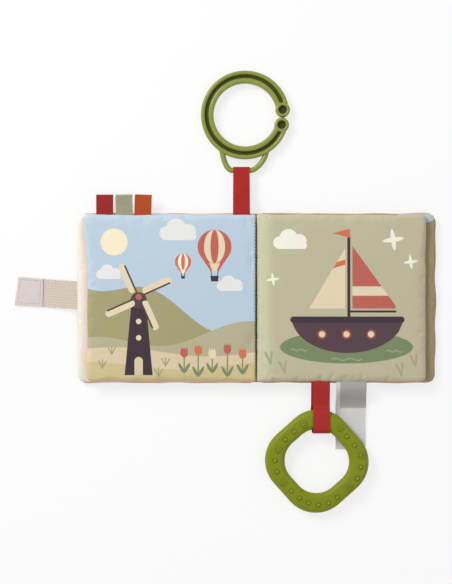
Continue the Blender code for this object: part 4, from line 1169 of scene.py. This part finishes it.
class CLOTHBOOK_OT_ring_ribbon(bpy.types.Operator):
    """Folds the red ribbon round the bar of the ring's D-loop"""

    bl_idname = "clothbook.ring_ribbon"
    bl_label = "Ring ribbon"

    def execute(self, context):
        ribbon = context.scene.cloth_book.ribbons
        hinge, bar = JOINTS["ring_ribbon_swing"], JOINTS["ring_swing"]
        fold = folded_round(hinge.yz, bar.yz, 3 * MM, LAYER_GAP, 0.0)
        ends = [(hinge.y - 4.2 * MM, hinge.z + side * LAYER_GAP) for side in (1, -1)]
        path = eased([ends[0], *fold, ends[1]], 0.8 * MM, 2)
        bm = strip_bmesh(path, ribbon.width, 18, middle=hinge.x)
        for vert in bm.verts:
            free = smooth(vert.co.y, hinge.y, hinge.y + 0.01) * (1 - smooth(vert.co.y, bar.y - 0.01, bar.y - 0.003))
            vert.co.z += 0.55 * MM * free * ripple(vert.co.x, vert.co.y, 0.0, 0.014)
            vert.co.x -= (vert.co.x - hinge.x) * 0.03 * smooth(vert.co.y, hinge.y, bar.y)
        cloth_strip("ring_ribbon_cloth", bm, ribbon.thickness, ribbon_cloth("red_ribbon", "bc1a10"),
                    ("left_leaf", "ring_ribbon", *beside(hinge, -1, 3.5)), "red_ribbon",
                    ("ring_ribbon_loop", "ring_ribbon_root"), flat=(ribbon.width, path_length(path)),
                    held="folded", rests_on=["left_leaf_pad", "c_ring_moulding"])
        return {"FINISHED"}


TEETHER_FOOT = Vector((0, TEETHER["centre"][1] - TEETHER["outer"][0], 0)) * MM
TEETHER_TILT = Matrix.Rotation(radians(TEETHER["tilt"]), 3, "X")  # its near edge is raised by the ribbon


class CLOTHBOOK_OT_teether_ribbon(bpy.types.Operator):
    """Runs the red ribbon from the foot seam round the teether and back"""

    bl_idname = "clothbook.teether_ribbon"
    bl_label = "Teether ribbon"

    def execute(self, context):
        ribbon = context.scene.cloth_book.ribbons
        finish = bpy.data.materials["red_ribbon"]
        hinge, flex = JOINTS["teether_ribbon_swing"], JOINTS["teether_flex"]
        split, middle = (hinge.yz + flex.yz) / 2
        bm = bmesh.new()
        for side, shift in ((1, 0.0), (-1, -1.6 * MM)):
            gap = side * LAYER_GAP
            line = [(hinge.y + 4.5 * MM, hinge.z + gap), (hinge.y, hinge.z + gap), (split, middle + gap)]
            path = eased(line, 0.7 * MM, 2)
            strip_bmesh(path, ribbon.width, 16, middle=hinge.x + shift, bm=bm)
        cloth_strip("teether_ribbon_web_cloth", bm, ribbon.thickness, finish,
                    ("right_leaf", "teether_ribbon", *beside(hinge, 1, -3.5)), "red_ribbon",
                    ("teether_ribbon_web", "teether_ribbon_root"), flat=(ribbon.width, 2 * path_length(path)),
                    held="hung", rests_on=["right_leaf_pad"])

        bend, near, far, high, flat_start = 4.5 * MM, 3.45 * MM, 24.65 * MM, 5.65 * MM, -91.4 * MM
        half = [(1.6 * MM, LAYER_GAP),
                *arc_points((near + bend + 0.2 * MM, high - bend), bend, radians(135), pi / 2, 8),
                *arc_points((far - bend, high - bend), bend, pi / 2, 0, 12)]
        loop = [(0, flat_start - u, 5 * MM + w) for u, w in half + [(u, -w) for u, w in half[::-1]]]
        laid = [(TEETHER_FOOT + TEETHER_TILT @ (Vector(place) - TEETHER_FOOT)).yz for place in loop]
        path = eased([(split, middle + LAYER_GAP), *laid, (split, middle - LAYER_GAP)], 0.7 * MM, 3)
        web_length = 12.5 * MM
        bm = strip_bmesh(path, ribbon.width, 18, start_along=web_length, middle=hinge.x)
        lie = bm.verts.layers.float_vector["lie"]
        for vert in bm.verts:
            share = (vert[lie].y - web_length) / path_length(path)
            vert.co.x -= 1.6 * MM * smooth(share, 0.45, 0.7)
            free = smooth(share, 0.03, 0.12) * (1 - smooth(share, 0.88, 0.97))
            vert.co.z += 0.25 * MM * free * ripple(vert.co.x, vert.co.y, share * 0.02, 0.009)
        cloth_strip("teether_ribbon_loop_cloth", bm, ribbon.thickness, finish,
                    ("teether_ribbon", "teether", *((hinge.x, y, z) for x, y, z in beside(flex, 3.5, -1))),
                    "red_ribbon", ("teether_ribbon_loop",), flat=(ribbon.width, path_length(path)),
                    held="folded", rests_on=["teether_moulding"])
        return {"FINISHED"}


class CLOTHBOOK_OT_label(bpy.types.Operator):
    """Drops the two-layer satin label from the foot seam to the table"""

    bl_idname = "clothbook.label"
    bl_label = "Sewn-in label"

    def execute(self, context):
        hinge = JOINTS["label_swing"]
        low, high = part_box("label_front")
        end = node_span("label_front", "label_back")[0].y
        width, fall_run, steps = high.x - low.x, 19.5 * MM, 16
        for name, finish, rest, drop, sideways, seed in (
            ("front", label_cloth("label_print", True), 1.15 * MM, 0.2 * MM, 1.8 * MM, 2.0),
            ("back", label_cloth("label_plain", False), 0.45 * MM, -0.2 * MM, -1.8 * MM, 5.0),
        ):
            start = hinge.z + drop
            line = [(hinge.y + 5.5 * MM, start), (hinge.y + 1 * MM, start)]
            line += [(hinge.y - step / steps * fall_run, start - (start - rest) * smooth(step / steps))
                     for step in range(steps + 1)]
            path = eased([*line, (end, rest)], 0.9 * MM, 2)
            bm = strip_bmesh(path, width, 20, middle=hinge.x + sideways)
            for vert in bm.verts:
                out = smooth(-vert.co.y, -hinge.y, -hinge.y + 0.02)
                vert.co.x += 0.6 * MM * out * ripple(0.0, vert.co.y, seed, 0.02)
                lift = 1.1 * MM * out * (0.5 + 0.5 * ripple(vert.co.x, vert.co.y * 0.35, seed, 0.010))
                vert.co.z += lift * (1 - smooth(-vert.co.y, 0.097, 0.108)) + 0.08 * MM * out
            nodes = (f"label_{name}", "label_root") if name == "front" else (f"label_{name}",)
            cloth_strip(f"label_{name}_cloth", bm, 0.25 * MM, finish,
                        ("right_leaf", "label", *beside(hinge, 1, -4)), "label", nodes,
                        flat=(width, path_length(path)), held="hung", rests_on=["right_leaf_pad"])
        return {"FINISHED"}


def slant(place, tip):
    """How far the strap's cut end stands back: it isn't cut quite square."""
    return smooth(-place.x, tip - 30 * MM, tip - 6 * MM) * (2.4 * MM + 0.13 * (place.y - 5.6 * MM))


class CLOTHBOOK_OT_strap(bpy.types.Operator):
    """Weaves the closure strap and sews on its hook patch and the cover's loop patch"""

    bl_idname = "clothbook.strap"
    bl_label = "Closure strap"

    def execute(self, context):
        webbing = webbing_cloth("webbing")
        seam, bend = JOINTS["strap_bend"], JOINTS["strap_tip_bend"]
        width, lean = 24.5 * MM, 0.065
        tip = -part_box("strap_tip")[0].x
        split, middle = -(seam.x + bend.x) / 2, (seam.z + bend.z) / 2
        inner = [(-seam.x - 4.6 * MM, seam.z), (-seam.x, seam.z), (split, middle)]
        outer = [(split, middle), (-bend.x, bend.z + 0.05 * MM), (tip, bend.z + 0.05 * MM)]
        for name, line, start, bodies, hinge, before, after, held, nodes in (
            ("strap_web_cloth", inner, 0.0, ("front_cover", "strap"), seam, 1.0, -4.0, "hung",
             ("strap_web", "strap_root")),
            ("strap_tip_cloth", outer, 18 * MM, ("strap", "strap_tip"), bend, 3.5, -0.5, "laid", ("strap_tip",)),
        ):
            motion = (*bodies, (hinge.x + before * MM, 0, 0), (hinge.x + after * MM, 0, 0))
            path = eased(line, 0.8 * MM, 2)
            bm = strip_bmesh(path, width, 28, start_along=start)
            bmesh.ops.rotate(bm, cent=(0, 0, 0), matrix=Matrix.Rotation(pi / 2, 3, "Z"), verts=bm.verts)
            for vert in bm.verts:
                vert.co.y += seam.y + lean * (seam.x - vert.co.x)
                free = smooth(-vert.co.x, 0.157, 0.163)
                vert.co.z += 0.2 * MM * ripple(vert.co.x, vert.co.y, 1.0, 0.012) * free
                vert.co.y += 0.3 * MM * ripple(vert.co.x, 0.0, 6.0, 0.015) * free
                vert.co.x += slant(vert.co, tip)
            cloth_strip(name, bm, 1.1 * MM, webbing, motion, "webbing", nodes, held=held,
                        flat=(width, path_length(path)), rests_on=["front_cover_pad"])
        self.patch("hook_patch_cloth", "strap_hook_patch", "strap_tip", "dfd5d1", lean, "strap_tip_cloth")
        self.patch("loop_patch_cloth", "closure_loop_patch", "back_cover", "e8e0da", 0.0, "back_cover_pad")
        return {"FINISHED"}

    def patch(self, name, node, body, code, lean, under):
        """A fuzzy square of touch fastener, a little thicker inside its stitched border.

        The loop patch faces down and is square; the hook patch leans and is cut as the strap is."""
        loops = name.startswith("loop")
        low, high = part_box(node)
        middle, (length, height, thick) = (low + high) / 2, high - low
        height -= lean * length
        bm = bmesh.new()
        lie = bm.verts.layers.float_vector.new("lie")
        bmesh.ops.create_grid(bm, x_segments=34, y_segments=34, size=0.5)
        for vert in bm.verts:
            across, along = vert.co.x * length, vert.co.y * height
            inside = min(length / 2 - abs(across), height / 2 - abs(along))
            vert[lie] = (across, along, inside)
            corner = smooth(inside, 0.0, 1.2 * MM)
            stitched = 1 - 0.45 * smooth(inside, 1.2 * MM, 2 * MM) * (1 - smooth(inside, 2.6 * MM, 3.4 * MM))
            fuzz = 0.18 * MM * corner * ripple(across, along, 1.0, 0.0016)
            up = thick * (0.35 + 0.4 * corner * stitched) / 2 + fuzz - thick * 0.18
            vert.co = (middle.x + across + 0.2 * MM * ripple(along, 0.0, 2.0, 0.006),
                       middle.y + along - lean * across, middle.z - 0.05 * MM + (-up if loops else up))
            if not loops:
                vert.co.x += slant(vert.co, -low.x)
        if loops:
            bmesh.ops.reverse_faces(bm, faces=bm.faces)
        cloth_strip(name, bm, thick * 0.45, fastener_cloth(name, code, loops), body, "fastener", (node,),
                    flat=(length, height), held="stretched", rests_on=[under])


def ring_loop_points():
    """The D-loop's wire: two bowed limbs and the bar between them."""
    centre, bar_x, bar_y, half_bar = Vector(RING["centre"]), -12.9, 110.0, 7.6
    points = []
    for side, spread in ((-1, 33.5), (1, 30.5)):
        angle = -pi / 2 + side * radians(spread)
        foot = centre + (RING["outer"] - 1.75) * Vector((cos(angle), sin(angle)))
        end = Vector((bar_x + side * half_bar, bar_y))
        bow, turn = Vector((foot.x - side * 1.2, bar_y + 8.5)), Vector((end.x + side * 5.0, bar_y))
        shares = [step / 24 for step in range(25)]
        limb = [(1 - t) ** 3 * foot + 3 * t * (1 - t) ** 2 * bow + 3 * t * t * (1 - t) * turn + t ** 3 * end
                for t in shares]
        points += limb if side < 0 else limb[::-1]
    return [Vector((*point, 4.0)) * MM for point in points]


class CLOTHBOOK_OT_ring(bpy.types.Operator):
    """Turns the grooved C-ring with its two knobs and its D-loop"""

    bl_idname = "clothbook.ring"
    bl_label = "C-ring"

    def execute(self, context):
        centre = Vector((*RING["centre"], 0.0)) * MM
        inner, outer, low, high = (RING[key] for key in ("inner", "outer", "low", "high"))
        groove, (under, over) = RING["groove"], RING["groove_floors"]
        hidden = asin(RING["hidden_in_knob"] / KNOB_CIRCLE)
        start = RING["knob_angles"][0] + hidden
        sweep = RING["knob_angles"][1] + 2 * pi - hidden - start
        corners = [(inner, low), (groove[0], low), (groove[0], under), (groove[1], under), (groove[1], low),
                   (outer, low), (outer, high), (groove[1], high), (groove[1], over), (groove[0], over),
                   (groove[0], high), (inner, high)]
        band = lathe(rounded_profile(corners, RING["rounding"], 5), 210, start, sweep)
        stop, ease = radians(3.6), radians(1.7)
        for vert in band.verts:
            radius, angle = hypot(vert.co.x, vert.co.y) / MM, atan2(vert.co.y, vert.co.x)
            turned = (angle - start) % (2 * pi)
            filled = 1 - smooth(min(turned, sweep - turned), stop, stop + ease)
            if groove[0] - 0.9 < radius < groove[1] + 0.9:
                vert.co.z += ((high if vert.co.z > 4.0 * MM else low) * MM - vert.co.z) * filled
        bmesh.ops.translate(band, vec=centre, verts=band.verts)
        parts = [band]
        for place in knob_places():
            knob = lathe([(r * MM, z * MM) for r, z in KNOB_PROFILE], 40)
            bmesh.ops.translate(knob, vec=place.to_3d() * MM, verts=knob.verts)
            parts.append(knob)
        parts.append(tube_along(softened(ring_loop_points(), 2), RING["loop_wire"] * MM, 22))
        ring = new_piece("c_ring_moulding", joined_bmesh(parts), moulded_plastic("ring_green"))
        ring.data.set_sharp_from_angle(angle=radians(48))
        declared(ring, "c_ring", "ring_green", "c_ring")
        return {"FINISHED"}


def diamond_loop(reach, flat, steps, side_steps):
    """A square stood on its corner, its corners rounded, listed round from its right-hand point."""
    corner = (flat * sqrt(2) - reach) / (sqrt(2) - 1)
    points = []
    for quarter in range(4):
        heading = quarter * pi / 2 + radians(TEETHER["turn"])
        at = ((reach - corner) * cos(heading), (reach - corner) * sin(heading))
        points += [Vector(point) for point in arc_points(at, corner, heading - pi / 4, heading + pi / 4, steps)]
    filled = []
    for i, point in enumerate(points):
        filled.append(point)
        if i % (steps + 1) == steps:
            after = points[(i + 1) % len(points)]
            filled += [point.lerp(after, k / side_steps) for k in range(1, side_steps)]
    return filled


class CLOTHBOOK_OT_teether(bpy.types.Operator):
    """Moulds the rounded-diamond teether and its raised flowers and beads"""

    bl_idname = "clothbook.teether"
    bl_label = "Teether"

    def execute(self, context):
        outer, inner = (diamond_loop(*TEETHER[side], 14, 10) for side in ("outer", "inner"))
        thick, near, band = TEETHER["thick"], TEETHER["rounding"], TEETHER["outer"][0] - TEETHER["inner"][0]
        far, high = band - near, thick - near
        section = arc_points((far, high), near, 0, pi / 2, 8)
        section += [(far + (near - far) * k / 5, thick + 0.12 * sin(pi * k / 5)) for k in range(1, 5)]
        section += arc_points((near, high), near, pi / 2, pi, 8)
        section += arc_points((near, near), near, pi, 3 * pi / 2, 8)
        section += [(near + (far - near) * k / 5, 0.0) for k in range(1, 5)]
        section += arc_points((far, near), near, -pi / 2, 0, 8)
        columns, rows = len(outer), len(section)
        bm = bmesh.new()
        bmesh.ops.create_grid(bm, x_segments=columns, y_segments=rows, size=1.0)
        for vert in bm.verts:
            column = round((vert.co.x + 1) / 2 * columns) % columns
            across, up = section[round((vert.co.y + 1) / 2 * rows) % rows]
            vert.co = (*inner[column].lerp(outer[column], across / band) * MM, up * MM)
        bmesh.ops.remove_doubles(bm, verts=bm.verts, dist=1e-6)
        bmesh.ops.recalc_face_normals(bm, faces=bm.faces)
        parts = [bm]
        centre = Vector(TEETHER["centre"])
        bumps = [(Vector(place) - centre, (1.2, 1.2, 1.15), 0.0) for place in TEETHER["beads"]]
        for number, place in enumerate(TEETHER["flowers"]):
            at = Vector(place) - centre
            bumps.append((at, (1.0, 1.0, 1.0), 0.0))
            for petal in range(6):
                turn = petal * pi / 3 + number * 0.35
                bumps.append((at + 2.25 * Vector((cos(turn), sin(turn))), (1.3, 0.78, 0.85), turn))
        for at, radii, turn in bumps:
            bead = bmesh.new()
            bmesh.ops.create_uvsphere(bead, u_segments=14, v_segments=8, radius=MM)
            bmesh.ops.scale(bead, vec=radii, verts=bead.verts)
            bmesh.ops.rotate(bead, cent=(0, 0, 0), matrix=Matrix.Rotation(turn, 3, "Z"), verts=bead.verts)
            bmesh.ops.translate(bead, vec=Vector((*at, thick - 0.1)) * MM, verts=bead.verts)
            parts.append(bead)
        whole = joined_bmesh(parts)
        bmesh.ops.translate(whole, vec=centre.to_3d() * MM, verts=whole.verts)
        bmesh.ops.rotate(whole, cent=TEETHER_FOOT, matrix=TEETHER_TILT, verts=whole.verts)
        declared(new_piece("teether_moulding", whole, silicone("teether_green")), "teether", "teether_green",
                 "teether_ring")
        return {"FINISHED"}



class StageSettings(bpy.types.PropertyGroup):
    """Floor, camera and light."""

    floor: FloatVectorProperty(name="Floor colour", description="Colour of the floor and the sky",
                               subtype="COLOR", default=(0.95, 0.95, 0.95), min=0.0, max=1.0)
    lens: FloatProperty(name="Lens", description="Focal length of the camera in millimetres",
                        default=100.0, min=20.0)
    view_height: FloatProperty(name="View height", description="Height of the picture on the table",
                               default=0.5022, min=0.1, unit="LENGTH")
    key: FloatProperty(name="Key light", description="Power of the large lamp", default=13.0, min=0.0)
    sky: FloatProperty(name="Sky light", description="Strength of the even light from all sides",
                       default=0.52, min=0.0)



class CLOTHBOOK_OT_stage(bpy.types.Operator):
    """Lays the floor and sets up the camera and the lamps"""

    bl_idname = "clothbook.stage"
    bl_label = "Stage"

    def execute(self, context):
        scene = context.scene
        stage = scene.cloth_book.stage
        bm = bmesh.new()
        bmesh.ops.create_grid(bm, x_segments=8, y_segments=8, size=4.0)
        bmesh.ops.translate(bm, vec=(0, 0, -0.2 * MM), verts=bm.verts)
        new_piece("floor", bm, self.floor_finish(tuple(stage.floor)))

        world = bpy.data.worlds.new("even_light")
        world.use_nodes = True
        background = world.node_tree.nodes["Background"]
        background.inputs["Color"].default_value = (1.0, 1.0, 1.0, 1.0)
        background.inputs["Strength"].default_value = stage.sky
        scene.world = world

        for name, place, size, power in (("key_lamp", (-0.85, 0.80, 0.95), 0.6, stage.key),
                                         ("fill_lamp", (0.95, -0.35, 1.5), 1.2, stage.key * 0.23)):
            data = bpy.data.lights.new(name, "AREA")
            data.shape = "DISK"
            data.size = size
            data.energy = power
            lamp = bpy.data.objects.new(name, data)
            lamp.location = place
            lamp.rotation_euler = (-Vector(place)).to_track_quat("-Z", "Y").to_euler()
            scene.collection.objects.link(lamp)

        data = bpy.data.cameras.new("camera")
        data.lens = stage.lens
        data.sensor_width = 36.0
        data.clip_start = 0.05
        data.clip_end = 30.0
        camera = bpy.data.objects.new("camera", data)
        camera.location = (-0.0262, 0.0052, 0.008 + stage.lens / data.sensor_width * stage.view_height)
        scene.collection.objects.link(camera)
        scene.camera = camera
        scene.view_settings.view_transform = "Standard"
        return {"FINISHED"}

    def floor_finish(self, colour):
        """Pale floor that a camera or a reflection sees nearly white, and that keeps a soft shadow."""
        finish = Finish("floor", roughness=0.9, specular=0.2)
        finish.place()
        shade = finish.shaded(colour, finish.cloud(0.004) * 0.02 + 0.99)
        finish.give(finish.shader.inputs["Base Color"], shade)
        path = finish.node("ShaderNodeLightPath")
        seen = finish.most(*[Wire(finish, path.outputs[f"Is {kind} Ray"])
                             for kind in ("Camera", "Glossy", "Transmission")])
        glow = finish.node("ShaderNodeEmission", (), {"Color": (1.0, 1.0, 1.0), "Strength": 1.0})
        parts = {0: seen * 0.72, 1: finish.shader.outputs[0], 2: glow.outputs[0]}
        blend = finish.node("ShaderNodeMixShader", (), parts)
        finish.give(finish.tree.nodes["Material Output"].inputs["Surface"], blend.outputs[0])
        return finish.material


class ClothBookSettings(bpy.types.PropertyGroup):
    """All settings of the cloth book."""

    pads: PointerProperty(type=PadSettings, name="Panels", description="How the panels are puffed")
    ribbons: PointerProperty(type=RibbonSettings, name="Ribbons", description="Sizes of the ribbons")
    stage: PointerProperty(type=StageSettings, name="Stage", description="Floor, camera and light")


STEPS = (
    CLOTHBOOK_OT_stage, CLOTHBOOK_OT_pads, CLOTHBOOK_OT_gutter, CLOTHBOOK_OT_tags, CLOTHBOOK_OT_ring_ribbon,
    CLOTHBOOK_OT_ring, CLOTHBOOK_OT_teether_ribbon, CLOTHBOOK_OT_teether, CLOTHBOOK_OT_label,
    CLOTHBOOK_OT_strap,
)


class CLOTHBOOK_PT_panel(bpy.types.Panel):
    """Lists the settings and the steps of the cloth book"""

    bl_idname = "CLOTHBOOK_PT_panel"
    bl_label = "Cloth book"
    bl_space_type = "VIEW_3D"
    bl_region_type = "UI"
    bl_category = "Cloth book"

    def draw(self, context):
        settings = context.scene.cloth_book
        for group in (settings.pads, settings.ribbons, settings.stage):
            box = self.layout.box()
            for name in group.__annotations__:
                box.prop(group, name)
        for step in STEPS:
            self.layout.operator(step.bl_idname)


CLASSES = (PadSettings, RibbonSettings, StageSettings, ClothBookSettings, *STEPS, CLOTHBOOK_PT_panel)


def register():
    for cls in CLASSES:
        bpy.utils.register_class(cls)
    bpy.types.Scene.cloth_book = PointerProperty(type=ClothBookSettings)


def unregister():
    del bpy.types.Scene.cloth_book
    for cls in reversed(CLASSES):
        bpy.utils.unregister_class(cls)


def main():
    register()
    for step in STEPS:
        group, name = step.bl_idname.split(".")
        getattr(getattr(bpy.ops, group), name)()
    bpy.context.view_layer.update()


if __name__ == "__main__":
    main()
